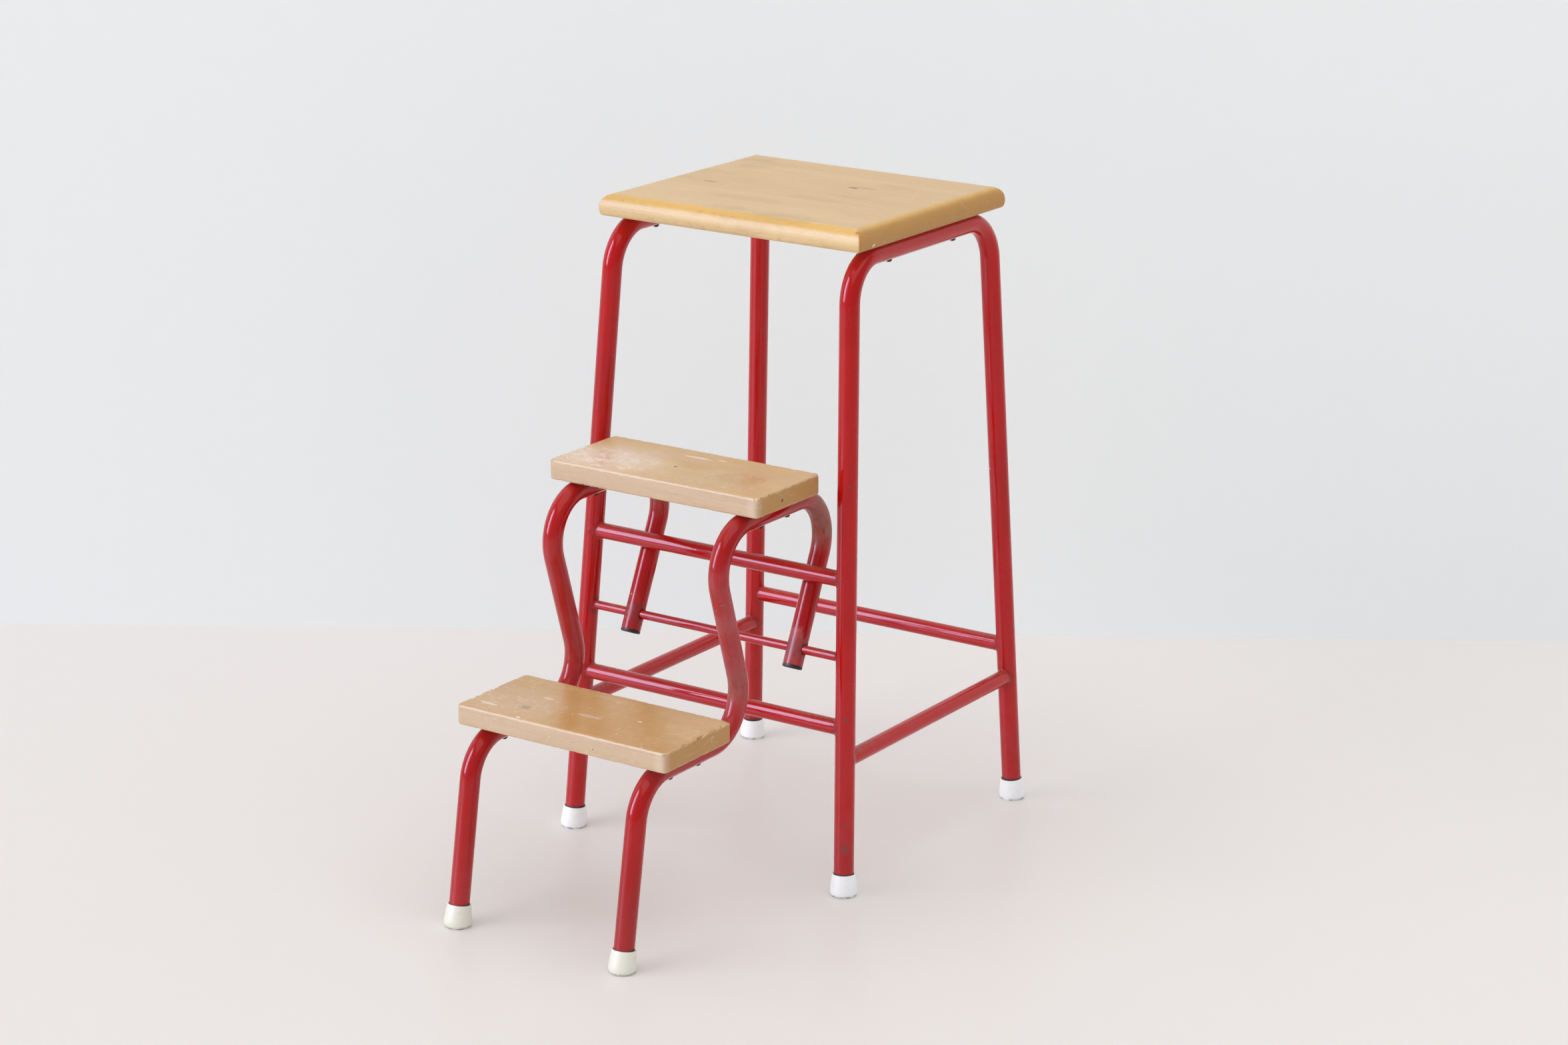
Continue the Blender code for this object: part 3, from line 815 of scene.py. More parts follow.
def step_wood(node, scuffed, lacquered):
    """Step wood with patches of old lacquer, chipped edges, dark ends and pale scuffs."""
    low, high = BOXES[node]
    coat = Coating(f"{node}_worn_wood", "step_front")
    sideways, _, upward = coat.parts(coat.normal())
    top = upward.remap(0.75, 0.98)
    thinnest = 0.52 - 0.36 * lacquered
    patchy = coat.noise(17.0, 7, 0.62, 0.3, stretch=(0.7, 1.0, 1.0))
    glossy = patchy.remap(thinnest, thinnest + 0.34) * top
    coat.lay("step_top", top)
    coat.lay("step_lacquer", glossy * lacquered)
    lines = coat.lay_grain(0.9)
    coat.lay("end_grain", abs(sideways).remap(0.5, 0.9) * 0.9)
    coat.lay("stain", coat.noise(26.0, 7, 0.7).remap(0.54, 0.80) * 0.35)

    thin = coat.noise(90.0, 5, 0.7).remap(0.30, 0.60)
    coat.lay("seat_top", coat.edge_of(node, 0.0028) * thin * 0.7)
    any_height = 1000.0
    from_corner = coat.around((high.x - 0.004, low.y, 0.0), (1.0, 1.0, any_height))
    coat.lay("chalk", from_corner.remap(0.011, 0.004) * (1.0 - top) * 0.2)

    from_worst = coat.around((low.x + 0.044, low.y + 0.036, high.z), (0.078, 0.052, 0.02))
    brushed = coat.noise(190.0, 9, 0.75, 0.4, stretch=(0.4, 1.0, 1.0)).remap(0.50, 0.58)
    brushed = brushed | coat.mask(hairline_scratches, scale=150.0, width=0.022, coverage=1.2)
    scuffs = from_worst.remap(1.0, 0.45) * brushed * top * scuffed
    film = from_worst.remap(1.2, 0.2) * top * (scuffed * 0.5)
    coat.lay("chalk", scuffs | film)
    coat.lay_marks(STEP_MARKS[node])
    specks = coat.mask(scattered_spots, scale=95.0, size=0.11, share=0.10) * top
    coat.lay("chalk", specks * 0.75)
    scratches = coat.mask(hairline_scratches, scale=75.0, width=0.010, coverage=0.7)
    coat.lay("chalk", scratches * 0.3)
    dents = coat.mask(scattered_spots, scale=52.0, size=0.06, share=0.10)
    coat.lay("grime", dents * 0.75)

    height = lines * -0.2 + specks * 0.5 - dents * 0.8
    return coat.finished(0.3, 0.0005, height, {"Roughness": (glossy - scuffs).remap(0.0, 1.0, 0.46, 0.24)})


def cap_plastic(name, finish, dirt_amount):
    """White plastic with dirt rubbed in near the floor."""
    coat = Coating(name, finish)
    low = coat.parts(coat.place())[2].remap(0.0035, 0.0003)
    dirt = low * coat.noise(190.0, 5, 0.7).remap(0.35, 0.65) * dirt_amount
    film = coat.noise(120.0, 5, 0.65).remap(0.5, 0.8) * 0.12
    coat.lay("cap_dirt", dirt | film)
    coat.lay("cap_dirt", coat.mask(scattered_spots, scale=240.0, size=0.16, share=0.05) * 0.6)
    roughness = dirt.remap(0.0, 1.0, 0.38, 0.7)
    inputs = {"Roughness": roughness, "Subsurface Weight": 0.08, "Subsurface Radius": (0.004, 0.004, 0.004)}
    return coat.finished(0.2, 0.0004, coat.noise(420.0, 3), inputs)


def plug_plastic():
    """Black plastic, scuffed grey on its edge."""
    coat = Coating("tail_plug_black_plastic", "plug")
    coat.lay("bare_metal", coat.mask(rubbed_patches, coverage=0.5, scale=260.0) * 0.35)
    roughness = coat.noise(300.0, 3).remap(0.3, 0.7, 0.38, 0.6)
    return coat.finished(0.2, 0.0003, coat.noise(900.0, 2), {"Roughness": roughness})


def screw_steel():
    """Dull plated steel with darker spots."""
    coat = Coating("screw_dull_steel", "screw")
    spots = coat.noise(600.0, 4, 0.7).remap(0.45, 0.65)
    coat.lay("grime", spots)
    inputs = {"Roughness": spots.remap(0.0, 1.0, 0.34, 0.62), "Metallic": 0.9}
    return coat.finished(0.25, 0.0002, spots, inputs)


# Pieces


def clamped(point, limit):
    """The place nearest to a level point between plus and minus a limit along each axis."""
    return Vector([max(-limit[axis], min(limit[axis], point[axis])) for axis in (0, 1)])


def make_board(node, corner, top_inset, top_drop, bottom_inset, bottom_rise):
    """Board whose outline is extruded up its rounded edges, then closed above and below."""
    low, high = BOXES[node]
    half = (high - low) / 2
    thickness = high.z - low.z
    bm = bmesh.new()
    bmesh.ops.create_grid(bm, x_segments=1, y_segments=1, size=1)
    bmesh.ops.scale(bm, vec=half, verts=bm.verts)
    rounding = {"offset": corner, "segments": 6, "profile": 0.5, "material": -1}
    bmesh.ops.bevel(bm, geom=bm.verts, affect="VERTICES", **rounding)
    for edge in list(bm.edges):
        cuts = int(edge.calc_length() / POINT_SPACING)
        if cuts > 1:
            bmesh.ops.subdivide_edges(bm, edges=[edge], cuts=cuts)
    outline = bm.verts.layers.float_vector.new("outline")
    for vert in bm.verts:
        vert[outline] = vert.co
    bmesh.ops.delete(bm, geom=list(bm.faces), context="FACES_ONLY")

    flat_insets = [0.004, 0.0025, 0.0012]
    upright_shares = (0.25, 0.5, 0.72, 0.88)
    quarter = arc(0, 0, 1, 0, 90, 9)
    side = thickness - top_drop - bottom_rise
    profile = [(bottom_inset + inset, 0) for inset in flat_insets]
    profile += [(bottom_inset * (1 - out), bottom_rise * (1 - up)) for out, up in reversed(quarter)]
    profile += [(0, bottom_rise + side * share) for share in upright_shares]
    profile += [(top_inset * (1 - out), thickness - top_drop * (1 - up)) for out, up in quarter]
    profile += [(top_inset + inset, thickness) for inset in reversed(flat_insets)]

    def place_ring(verts, inset, height):
        """Put a ring of the outline at a height, drawn in by an inset."""
        limits = [half.xy - Vector((distance, distance)) for distance in (corner, max(inset, corner))]
        for vert in verts:
            point = vert[outline].xy
            core = clamped(point, limits[0])
            away = (point - core) * max(corner - inset, 0) / corner
            vert.co = (*(clamped(core, limits[1]) + away), height)

    edges = list(bm.edges)
    place_ring(ring_verts(edges), *profile[0])
    close_ring(bm, edges)
    for inset, height in profile[1:]:
        edges = extrude_ring(bm, edges)
        place_ring(ring_verts(edges), inset, height)
    close_ring(bm, edges)
    bm.verts.layers.float_vector.remove(outline)
    bmesh.ops.translate(bm, vec=(*middle(node).xy, low.z), verts=bm.verts)
    bmesh.ops.remove_doubles(bm, verts=bm.verts, dist=MERGE_DISTANCE)
    return bm


def chip_edges(bm, node, strength):
    """Wear a board's edges down unevenly, most of all along the top of its two ends."""
    low, high = BOXES[node]
    centre = middle(node)
    depth = settings("boards").chip_depth
    reach = 0.005
    for vert in bm.verts:
        inward = [min(vert.co[axis] - low[axis], high[axis] - vert.co[axis]) for axis in range(3)]
        second = sorted(inward)[1]
        if second > reach:
            continue
        near_end = fade(inward[0], 0.001, 0.007)
        near_top = fade(high.z - vert.co.z, 0.001, 0.007)
        rough = noise.noise(vert.co * 210) + 0.6 * noise.noise(vert.co * 520)
        dips = max(rough - 0.12, 0)
        amount = depth * strength * dips * fade(second, 0.0, reach) * (0.35 + 1.5 * near_end * near_top)
        for axis in range(3):
            if inward[axis] < reach:
                vert.co[axis] += amount * (1 if vert.co[axis] < centre[axis] else -1)


def refine_over_caps(bm):
    """Cut a tube into finer rings round the height of its cap's rim, for the thin line of painted shadow and
    dirt drawn there.
    """
    rim_height = settings("fittings").cap_height
    reach = 0.006
    shortest = 0.003
    lengthwise = []
    for edge in bm.edges:
        low, high = sorted(vert.co.z for vert in edge.verts)
        if high - low > shortest and low < rim_height + reach and high > rim_height - reach:
            lengthwise.append(edge)
    bmesh.ops.subdivide_edges(bm, edges=lengthwise, cuts=5)


def leg_marks():
    """Nicks and a pale scuff on the worn side of the front right leg."""
    worn_side = Vector((0.546, -0.838, 0))
    scuffed_side = Vector((-0.8, -0.6, 0))
    marks = (
        ("bare_metal", 0.050, worn_side, (0.006, 0.006, 0.007), 0.45),
        ("bare_metal", 0.073, worn_side, (0.004, 0.004, 0.003), 0.45),
        ("bare_metal", 0.181, worn_side, (0.003, 0.003, 0.005), 0.45),
        ("chalk", 0.130, scuffed_side, (0.003, 0.003, 0.004), 0.8),
    )
    return [
        (finish, leg_point(1, -1, height) + facing * TUBE_RADIUS, reach, strength)
        for finish, height, facing, reach, strength in marks
    ]


class STOOL_OT_side_frames(Operator):
    """Make the two side frames, each bent from one tube"""

    bl_idname = "stool.side_frames"
    bl_label = "Side Frames"

    def execute(self, context):
        material = enamel("side_frame_enamel", rubbing=0.3, dust=0.25, nicks=0.08, marks=leg_marks())
        for side_name, side in SIDES.items():
            front, rear = (side, -1), (side, 1)
            corners = [
                leg_point(*front, TUBE_END_HEIGHT),
                leg_point(*front, RUN_HEIGHT),
                leg_point(*rear, RUN_HEIGHT),
                leg_point(*rear, TUBE_END_HEIGHT),
            ]
            bm = bmesh.new()
            plane_normal = (corners[1] - corners[0]).cross(corners[2] - corners[1])
            for ring in run_tube(bm, corners, plane_normal):
                close_ring(bm, ring)
            refine_over_caps(bm)
            piece = make_object(f"{side_name}_leg_tube", bm)
            welds = weld_points(front) + weld_points(rear)
            # Dirt with painted shade round the welds, and a painted shadow line over the cap's rim
            record_stain(piece, "grime", [(weld, 0.0085, 0.014, 0.45) for weld in welds], rim_dirt)
            record_stain(piece, "rubbed", [], lambda point: 0.05 + 0.3 * fade(point.z, 0.03, 0.25))
            seat_piece(piece, material, "stool_frame", f"{side_name}_side_frame")
        return {"FINISHED"}


def distance_to_leg(point, direction, leg):
    """How far from a point, along a direction, a leg's skin lies."""
    axis = leg_axis(*leg)
    offset = point - leg_point(*leg, 0)
    offset -= axis * offset.dot(axis)
    across = direction - axis * direction.dot(axis)
    a = across.dot(across)
    b = 2 * offset.dot(across)
    c = offset.dot(offset) - TUBE_RADIUS**2
    return (-b - sqrt(max(b * b - 4 * a * c, 0))) / (2 * a)


def weld_swell(gap, width):
    """How far a weld stands out from a rail at a gap from the leg."""
    if gap >= width:
        return 0
    return width - sqrt(width**2 - (width - max(gap, 0)) ** 2)


def make_rail(name, node, radius, material, weld_width):
    """Rail or rod run out from its middle to both legs, its ends coped and spread into welds."""
    legs = rail_ends(node)
    ends = [leg_point(*leg, middle(node).z) for leg in legs]
    centre = (ends[0] + ends[1]) / 2
    end_length = 0.012
    sunk = 0.0006
    gaps = [0.008, 0.0055, 0.004, 0.003]
    gaps += [weld_width * share for share in (1, 0.7, 0.42, 0.22, 0.08, 0)] + [-sunk]
    bm = bmesh.new()
    first = ring_on(bm, centre, ends[1] - ends[0], radius, UP)
    for leg, end in zip(legs, ends):
        direction = (end - centre).normalized()
        straight = (end - centre).length - TUBE_RADIUS - end_length
        edges = run_straight(bm, first, direction * straight)
        for gap in gaps:
            edges = extrude_ring(bm, edges)
            for vert in ring_verts(edges):
                along = (vert.co - centre).dot(direction)
                spoke = (vert.co - centre - direction * along).normalized()
                uneven = 1 + 0.35 * noise.noise(spoke * 2.1 + end * 40)
                start = centre + spoke * (radius + weld_swell(gap, weld_width * uneven))
                vert.co = start + direction * (distance_to_leg(start, direction, leg) - gap)
        close_ring(bm, edges)
    piece = make_object(name, bm, smooth_angle=70)
    # Dirt with painted shade at the welded ends, and real dust near them
    for stain, near, far, strength in (("grime", 0.0005, 0.006, 0.45), ("dusty", 0.01, 0.075, 0.65)):
        record_stain(piece, stain, [(end, TUBE_RADIUS + near, TUBE_RADIUS + far, strength) for end in ends])
    record_stain(piece, "rubbed", [], lambda point: 0.25 + 0.5 * max(noise.noise(point * 25), 0))
    seat_piece(piece, material, "stool_frame", node)


class STOOL_OT_rails(Operator):
    """Make the five rails between the legs"""

    bl_idname = "stool.rails"
    bl_label = "Rails"

    def execute(self, context):
        material = enamel("rail_enamel", rubbing=0.12, dust=0.55, nicks=0.10)
        for node in RAILS:
            make_rail(f"{node}_welded", node, RAIL_RADIUS, material, settings("frame").weld_width)
        return {"FINISHED"}


class STOOL_OT_pivot_rod(Operator):
    """Make the rod on which the step unit turns"""

    bl_idname = "stool.pivot_rod"
    bl_label = "Pivot Rod"

    def execute(self, context):
        material = enamel("rod_enamel", rubbing=0.25, dust=0.55, nicks=0.20)
        make_rail("pivot_bar", "pivot_rod", ROD_RADIUS, material, settings("frame").weld_width * 0.8)
        return {"FINISHED"}


def stain_step_tube(piece, side, axle):
    """Dirt with painted shade round the rod's holes, a painted shadow line with dirt over the cap, and wear
    on the riser, the tail's bend and the foot.
    """
    riser_middle = (LOWER_RUN_HEIGHT + UPPER_RUN_HEIGHT) / 2 - 0.015
    riser_wear, bend_smear, shin_smear = (0.9, 0.9, 0.5) if side > 0 else (0.3, 0.3, 0.15)
    hook = step_point(side, -0.032, UPPER_RUN_HEIGHT - 0.02)
    bend = step_point(side, -0.034, UPPER_RUN_HEIGHT - 0.022) + SIDEWAYS * side * TUBE_RADIUS
    shin_ahead = settings("steps").riser_bottom_ahead + 0.020
    shin = step_point(side, shin_ahead, LOWER_RUN_HEIGHT + 0.050) - SIDEWAYS * TUBE_RADIUS * 0.8

    def rubbed(point):
        riser = fade(abs(point.z - riser_middle), 0.05, 0.11) if point.y < PIVOT.y else 0
        return max(0.06, riser * riser_wear, fade(point.z, 0.03, 0.12) * 0.3)

    # Dirt with painted shade round the rod's hole, and a painted shadow line over the cap's rim
    record_stain(piece, "grime", [(axle, 0.0105, 0.016, 0.5)], rim_dirt)
    record_stain(piece, "smeared", [(bend, 0.014, 0.045, bend_smear), (shin, 0.008, 0.030, shin_smear)])
    record_stain(piece, "rubbed", [(hook, 0.015, 0.05, 0.5)], rubbed)


class STOOL_OT_step_tubes(Operator):
    """Make the two step tubes, each with four bends between its foot and its tail"""

    bl_idname = "stool.step_tubes"
    bl_label = "Step Tubes"

    def execute(self, context):
        sizes = settings("steps")
        # The step tubes' enamel is darkened all over: painted shade
        material = enamel("step_tube_enamel", rubbing=0.5, dust=0.25, nicks=0.05, painted_shade=0.4)
        slope = (sizes.foot_ahead - sizes.front_corner_ahead) / LOWER_RUN_HEIGHT
        tail_top = (PIVOT.z - UPPER_RUN_HEIGHT) * tan(sizes.tail_lean)
        for side_name, side in SIDES.items():
            axle = step_point(side, 0, PIVOT.z)
            corners = [
                step_point(side, sizes.foot_ahead - slope * TUBE_END_HEIGHT, TUBE_END_HEIGHT),
                step_point(side, sizes.front_corner_ahead, LOWER_RUN_HEIGHT),
                step_point(side, sizes.riser_bottom_ahead, LOWER_RUN_HEIGHT),
                step_point(side, sizes.riser_top_ahead, UPPER_RUN_HEIGHT),
                step_point(side, tail_top, UPPER_RUN_HEIGHT),
                axle + tail_axis() * sizes.tail_below_rod,
            ]
            bm = bmesh.new()
            run_tube(bm, corners, SIDEWAYS)
            refine_over_caps(bm)
            piece = make_object(f"{side_name}_bent_tube", bm, wall=sizes.tube_wall)
            bore(piece, axle, SIDEWAYS * TUBE_RADIUS * 4, ROD_RADIUS + CLEARANCE)
            stain_step_tube(piece, side, axle)
            seat_piece(piece, material, "step_unit", f"{side_name}_step_tube")
        return {"FINISHED"}


class STOOL_OT_seat_board(Operator):
    """Make the seat board with its deep rounded edge"""

    bl_idname = "stool.seat_board"
    bl_label = "Seat Board"

    def execute(self, context):
        sizes = settings("boards")
        top = (sizes.seat_top_inset, sizes.seat_top_drop)
        bottom = (sizes.seat_bottom_inset, sizes.seat_bottom_rise)
        bm = make_board("seat_board", sizes.seat_corner, *top, *bottom)
        chip_edges(bm, "seat_board", 0.25)
        piece = make_object("wooden_seat", bm)
        seat_piece(piece, seat_wood(), "stool_frame", "seat_board")
        return {"FINISHED"}


class STOOL_OT_step_boards(Operator):
    """Make the two step boards with their chipped edges"""

    bl_idname = "stool.step_boards"
    bl_label = "Step Boards"

    def execute(self, context):
        sizes = settings("boards")
        for level_name, scuffed, lacquered in (("lower", 0.25, 0.85), ("upper", 0.9, 0.5)):
            node = f"{level_name}_step_board"
            bm = make_board(node, sizes.step_corner, *[sizes.step_edge] * 4)
            chip_edges(bm, node, 1.0)
            piece = make_object(f"{level_name}_wooden_step", bm)
            seat_piece(piece, step_wood(node, scuffed, lacquered), "step_unit", node)
        return {"FINISHED"}


def make_cap(name, floor_point, axis):
    """Tapered cap, rounded in at its base, with a rolled rim and its sole level with the floor."""
    sizes = settings("fittings")
    bore_radius = TUBE_RADIUS + CLEARANCE
    rim = bore_radius + sizes.cap_wall
    sole = TUBE_END_HEIGHT - CLEARANCE
    lip = sizes.cap_wall / 2
    base_rounding = 0.0014
    outline = [(0, -sole)]
    for share in (1.6, 1.4, 1.2, 1.0, 0.85, 0.7, 0.55, 0.4, 0.2, 0.0):
        outline.append((sizes.cap_base_radius - base_rounding * share**3, sizes.cap_band * (1 - share)))
    outline += [(rim + 0.0011, sizes.cap_height * 0.6), (rim + 0.0002, sizes.cap_height - 2.5 * lip)]
    outline += arc(rim - lip, sizes.cap_height - lip, lip, 0, 180, 8)
    outline += [(bore_radius, sole), (0, sole)]
    bm = turned(outline, floor_point, axis)
    geom = [*bm.verts, *bm.edges, *bm.faces]
    floor = {"plane_co": (0, 0, 0), "plane_no": UP, "clear_inner": True}
    bmesh.ops.bisect_plane(bm, geom=geom, dist=MERGE_DISTANCE, **floor)
    close_ring(bm, [edge for edge in bm.edges if edge.is_boundary])
    return make_object(name, bm)


class STOOL_OT_foot_caps(Operator):
    """Make the six white foot caps"""

    bl_idname = "stool.foot_caps"
    bl_label = "Foot Caps"

    def execute(self, context):
        steps = settings("steps")
        stool_material = cap_plastic("stool_cap_plastic", "cap", 1.0)
        step_material = cap_plastic("step_cap_plastic", "step_cap", 0.8)
        step_axis = Vector((0, steps.foot_ahead - steps.front_corner_ahead, LOWER_RUN_HEIGHT)).normalized()
        for side_name, side in SIDES.items():
            for end_name, end in ENDS.items():
                name = f"{end_name}_{side_name}"
                piece = make_cap(f"{name}_cap", leg_point(side, end, 0), leg_axis(side, end))
                seat_piece(piece, stool_material, "stool_frame", f"{name}_foot")
            piece = make_cap(f"{side_name}_step_cap", step_point(side, steps.foot_ahead, 0), step_axis)
            seat_piece(piece, step_material, "step_unit", f"{side_name}_step_foot")
        return {"FINISHED"}


class STOOL_OT_tail_plugs(Operator):
    """Make the two black plugs in the step tubes' tails"""

    bl_idname = "stool.tail_plugs"
    bl_label = "Tail Plugs"

    def execute(self, context):
        sizes = settings("fittings")
        steps = settings("steps")
        material = plug_plastic()
        flange = sizes.plug_flange
        edge = flange / 2
        spigot = TUBE_RADIUS - steps.tube_wall - CLEARANCE
        outline = [(0, flange), (TUBE_RADIUS * 0.5, flange * 0.99)]
        outline += reversed(arc(TUBE_RADIUS - edge, flange - edge, edge, 0, 80, 5))
        outline += [(TUBE_RADIUS, 0), (spigot, 0), (spigot, -sizes.plug_spigot), (0, -sizes.plug_spigot)]
        for side_name, side in SIDES.items():
            mouth = step_point(side, 0, PIVOT.z) + tail_axis() * (steps.tail_below_rod + CLEARANCE)
            piece = make_object(f"{side_name}_black_plug", turned(outline, mouth, tail_axis()))
            seat_piece(piece, material, "step_unit", f"{side_name}_tail_plug")
        return {"FINISHED"}


def make_screw(name, node):
    """Domed head with a cross recess, facing down, on a plain shank."""
    sizes = settings("fittings")
    slot = sizes.recess_width / 2
    recess_reach = sizes.head_diameter * 0.28
    bm = bmesh.new()
    bmesh.ops.create_grid(bm, x_segments=3, y_segments=3, size=recess_reach)
    for vert in bm.verts:
        for axis in range(2):
            if abs(vert.co[axis]) < recess_reach * 0.9:
                vert.co[axis] = slot if vert.co[axis] > 0 else -slot
    cross = [face for face in bm.faces if min(map(abs, face.calc_center_median().xy)) < slot]
    edges = [edge for edge in bm.edges if edge.is_boundary]
    sunk = bmesh.ops.extrude_face_region(bm, geom=cross)["geom"]
    sunk_verts = [item for item in sunk if isinstance(item, BMVert)]
    bmesh.ops.translate(bm, vec=(0, 0, sizes.recess_depth), verts=sunk_verts)
    bmesh.ops.delete(bm, geom=[face for face in cross if face.is_valid], context="FACES_ONLY")
    radius = sizes.head_diameter / 2
    for out, drop in [(0.42, 1.0), *arc(0, 0, 1, 62, 0, 6)]:
        edges = extrude_ring(bm, edges)
        for vert in ring_verts(edges):
            spoke = vert.co.xy.normalized() * radius * out
            vert.co = (*spoke, sizes.head_height * (1 - drop))
    shank = 0.47
    edges = extrude_ring(bm, edges)
    bmesh.ops.scale(bm, vec=(shank, shank, 1), verts=ring_verts(edges))
    edges = extrude_ring(bm, edges, UP * (SCREW_LENGTH - sizes.head_height))
    close_ring(bm, edges)
    lowest = BOXES[node][0].z + SCREW_RISE
    bmesh.ops.translate(bm, vec=(*middle(node).xy, lowest), verts=bm.verts)
    return make_object(name, bm)


class STOOL_OT_screws(Operator):
    """Make the cross-head screws under the seat and under the steps"""

    bl_idname = "stool.screws"
    bl_label = "Screws"

    def execute(self, context):
        material = screw_steel()
        for node in sorted(name for name in BOXES if "_screw_" in name):
            body = "stool_frame" if node.startswith("seat") else "step_unit"
            piece = make_screw(node.replace("_screw_", "_cross_screw_"), node)
            seat_piece(piece, material, body, node)
        return {"FINISHED"}


# Stage

WALL_WIDTH = 8
WALL_HEIGHT = 4
FLOOR_WIDTH = 12
SKIRTING_DEPTH = 0.003
SKY_SHARE_IN_GLOSS = 0.5
STOOL_MIDDLE = Vector((0, 0.05, 0.35))

# Place across, along and above the view from the stool's middle, width, height, power, tint and the kind of
# ray that doesn't see it
LIGHTS = {
    "key_light": ((-38.0, -16.5, 18.0), 34.0, 34.0, "key_power", (1.0, 0.99, 0.98), "visible_glossy"),
    "key_sheen": ((-38.0, -16.5, 18.0), 34.0, 34.0, "sheen_power", (0.54, 0.62, 1.0), "visible_diffuse"),
    "window_glint": ((-3.8, -1.4, 1.9), 1.4, 3.4, "glint_power", (0.66, 0.70, 1.0), "visible_diffuse"),
    "top_light": ((0.7, -0.8, 3.4), 4.6, 4.0, "fill_power", (1.0, 1.0, 1.0), None),
}


def one_sided(name, colour_name, roughness):
    """Plain surface that shows from its front only, so that it never hides the stool."""
    coat = Coating(name, colour_name, "stage")
    coat.feed(coat.shader.inputs, {"Base Color": coat.base, "Roughness": roughness})
    surfaces = {
        0: coat.add("ShaderNodeNewGeometry", output="Backfacing"),
        1: Value(coat, coat.shader.outputs[0]),
        2: coat.add("ShaderNodeBsdfTransparent"),
    }
    output = coat.tree.nodes["Material Output"]
    coat.feed(output.inputs, {"Surface": coat.add("ShaderNodeMixShader", surfaces)})
    return coat.material


def stage_sheet(name, matrix, width, depth, material):
    """Flat sheet of the stage, facing local +Z."""
    bm = bmesh.new()
    bmesh.ops.create_grid(bm, x_segments=1, y_segments=1, size=0.5)
    bmesh.ops.scale(bm, vec=(width, depth, 1), verts=bm.verts)
    bmesh.ops.transform(bm, matrix=matrix, verts=bm.verts)
    sheet = mesh_object(name, bm)
    sheet.data.materials.append(material)


def add_camera(turn):
    """Add the camera, aimed at its target."""
    stage = settings("stage")
    tilt = Matrix.Rotation(pi / 2 - stage.elevation, 4, "X")
    matrix = turn @ tilt @ Matrix.Rotation(stage.roll, 4, "Z")
    target = Vector((stage.target_x, FRAME_Y, stage.target_height))
    matrix.translation = target + matrix @ Vector((0, 0, stage.distance))
    lens = bpy.data.cameras.new("camera")
    lens.lens = stage.lens
    lens.sensor_width = 36
    lens.clip_end = 100
    camera = add_object("camera", lens)
    camera.matrix_world = matrix
    bpy.context.scene.camera = camera


def add_light(name, turn, place, width, height, power, tint, unseen_by):
    """Add a large soft light aimed at the stool's middle."""
    light = bpy.data.lights.new(name, "AREA")
    light.shape = "RECTANGLE"
    light.size = width
    light.size_y = height
    light.energy = getattr(settings("stage"), power)
    light.color = tint
    lamp = add_object(name, light)
    away = turn @ Vector(place)
    lamp.location = STOOL_MIDDLE + away
    lamp.rotation_euler = away.to_track_quat("Z", "Y").to_euler()
    if unseen_by:
        setattr(lamp, unseen_by, False)


def add_sky():
    """Light the stage evenly from all round, with a dimmer room seen in the gloss."""
    world = bpy.data.worlds.new("even_light")
    world.use_nodes = True
    nodes = NodeTree(world.node_tree)
    in_gloss = nodes.add("ShaderNodeLightPath", output="Is Glossy Ray")
    strength = (1.0 - in_gloss * (1 - SKY_SHARE_IN_GLOSS)) * settings("stage").sky_strength
    sky = world.node_tree.nodes["Background"]
    nodes.feed(sky.inputs, {"Color": (1, 1, 1, 1), "Strength": strength})
    bpy.context.scene.world = world


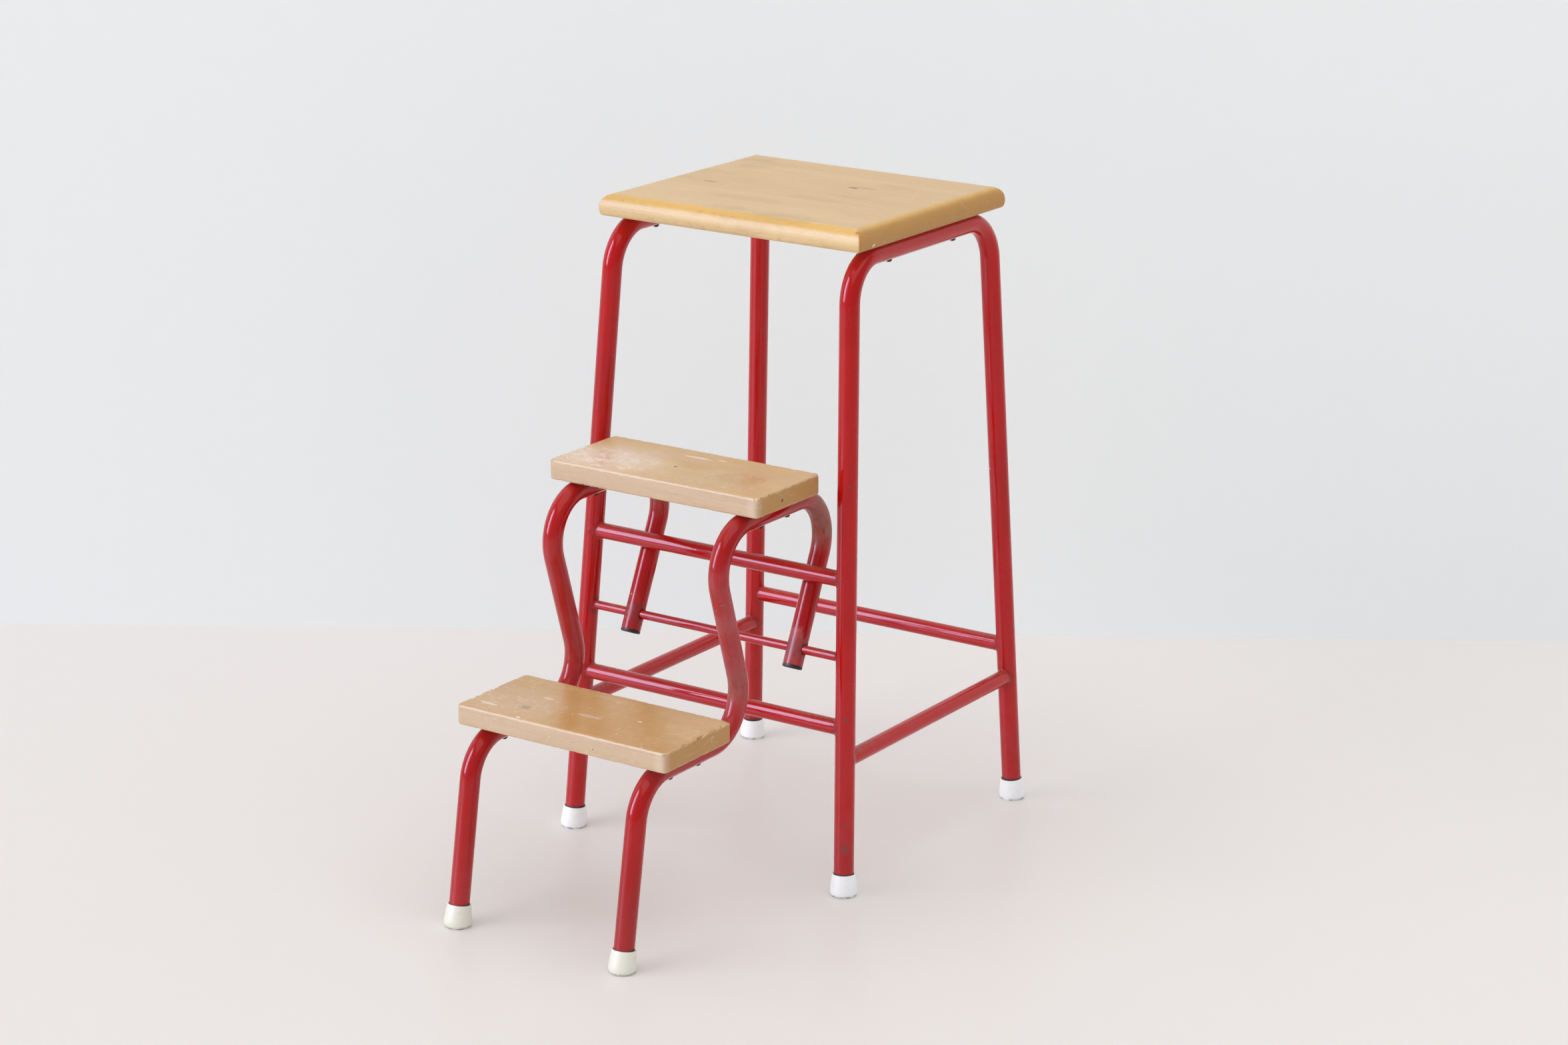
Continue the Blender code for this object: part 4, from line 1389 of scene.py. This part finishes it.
class STOOL_OT_stage(Operator):
    """Make the camera, the lights, the floor and the wall"""

    bl_idname = "stool.stage"
    bl_label = "Stage"

    def execute(self, context):
        stage = settings("stage")
        turn = Matrix.Rotation(stage.azimuth, 4, "Z")
        add_camera(turn)
        stage_sheet("floor", Matrix(), FLOOR_WIDTH, FLOOR_WIDTH, one_sided("pale_floor", "floor", 0.42))
        wall_material = one_sided("pale_wall", "wall", 0.75)
        skirting_behind = stage.wall_behind - SKIRTING_DEPTH
        walls = (
            ("wall", stage.wall_behind, WALL_HEIGHT),
            ("skirting", skirting_behind, stage.skirting_height),
        )
        for name, behind, height in walls:
            upright = turn @ Matrix.Rotation(pi / 2, 4, "X")
            upright.translation = Vector((0, FRAME_Y, 0)) + turn @ Vector((0, behind, height / 2))
            stage_sheet(name, upright, WALL_WIDTH, height, wall_material)
        for name, light in LIGHTS.items():
            add_light(name, turn, *light)
        add_sky()
        context.scene.view_settings.view_transform = "Standard"
        return {"FINISHED"}


class STOOL_PT_pieces(Panel):
    """Buttons for the stool's pieces and fields for their sizes"""

    bl_label = "Step Stool"
    bl_idname = "STOOL_PT_pieces"
    bl_space_type = "VIEW_3D"
    bl_region_type = "UI"
    bl_category = "Step Stool"

    def draw(self, context):
        for operator in OPERATORS:
            self.layout.operator(operator.bl_idname)
        for attribute, group in GROUPS.items():
            box = self.layout.box()
            for field in group.__annotations__:
                box.prop(getattr(context.scene, attribute), field)


OPERATORS = (
    STOOL_OT_side_frames,
    STOOL_OT_rails,
    STOOL_OT_pivot_rod,
    STOOL_OT_step_tubes,
    STOOL_OT_seat_board,
    STOOL_OT_step_boards,
    STOOL_OT_foot_caps,
    STOOL_OT_tail_plugs,
    STOOL_OT_screws,
    STOOL_OT_stage,
)


def register():
    """Register the settings, the operators and the panel."""
    for cls in (*GROUPS.values(), *OPERATORS, STOOL_PT_pieces):
        bpy.utils.register_class(cls)
    for attribute, group in GROUPS.items():
        setattr(bpy.types.Scene, attribute, PointerProperty(type=group))


def unregister():
    """Take everything away again."""
    for attribute in GROUPS:
        delattr(bpy.types.Scene, attribute)
    for cls in (STOOL_PT_pieces, *reversed(OPERATORS), *reversed(GROUPS.values())):
        bpy.utils.unregister_class(cls)


def main():
    """Make every piece."""
    register()
    bpy.ops.stool.side_frames()
    bpy.ops.stool.rails()
    bpy.ops.stool.pivot_rod()
    bpy.ops.stool.step_tubes()
    bpy.ops.stool.seat_board()
    bpy.ops.stool.step_boards()
    bpy.ops.stool.foot_caps()
    bpy.ops.stool.tail_plugs()
    bpy.ops.stool.screws()
    bpy.ops.stool.stage()


if __name__ == "__main__":
    main()
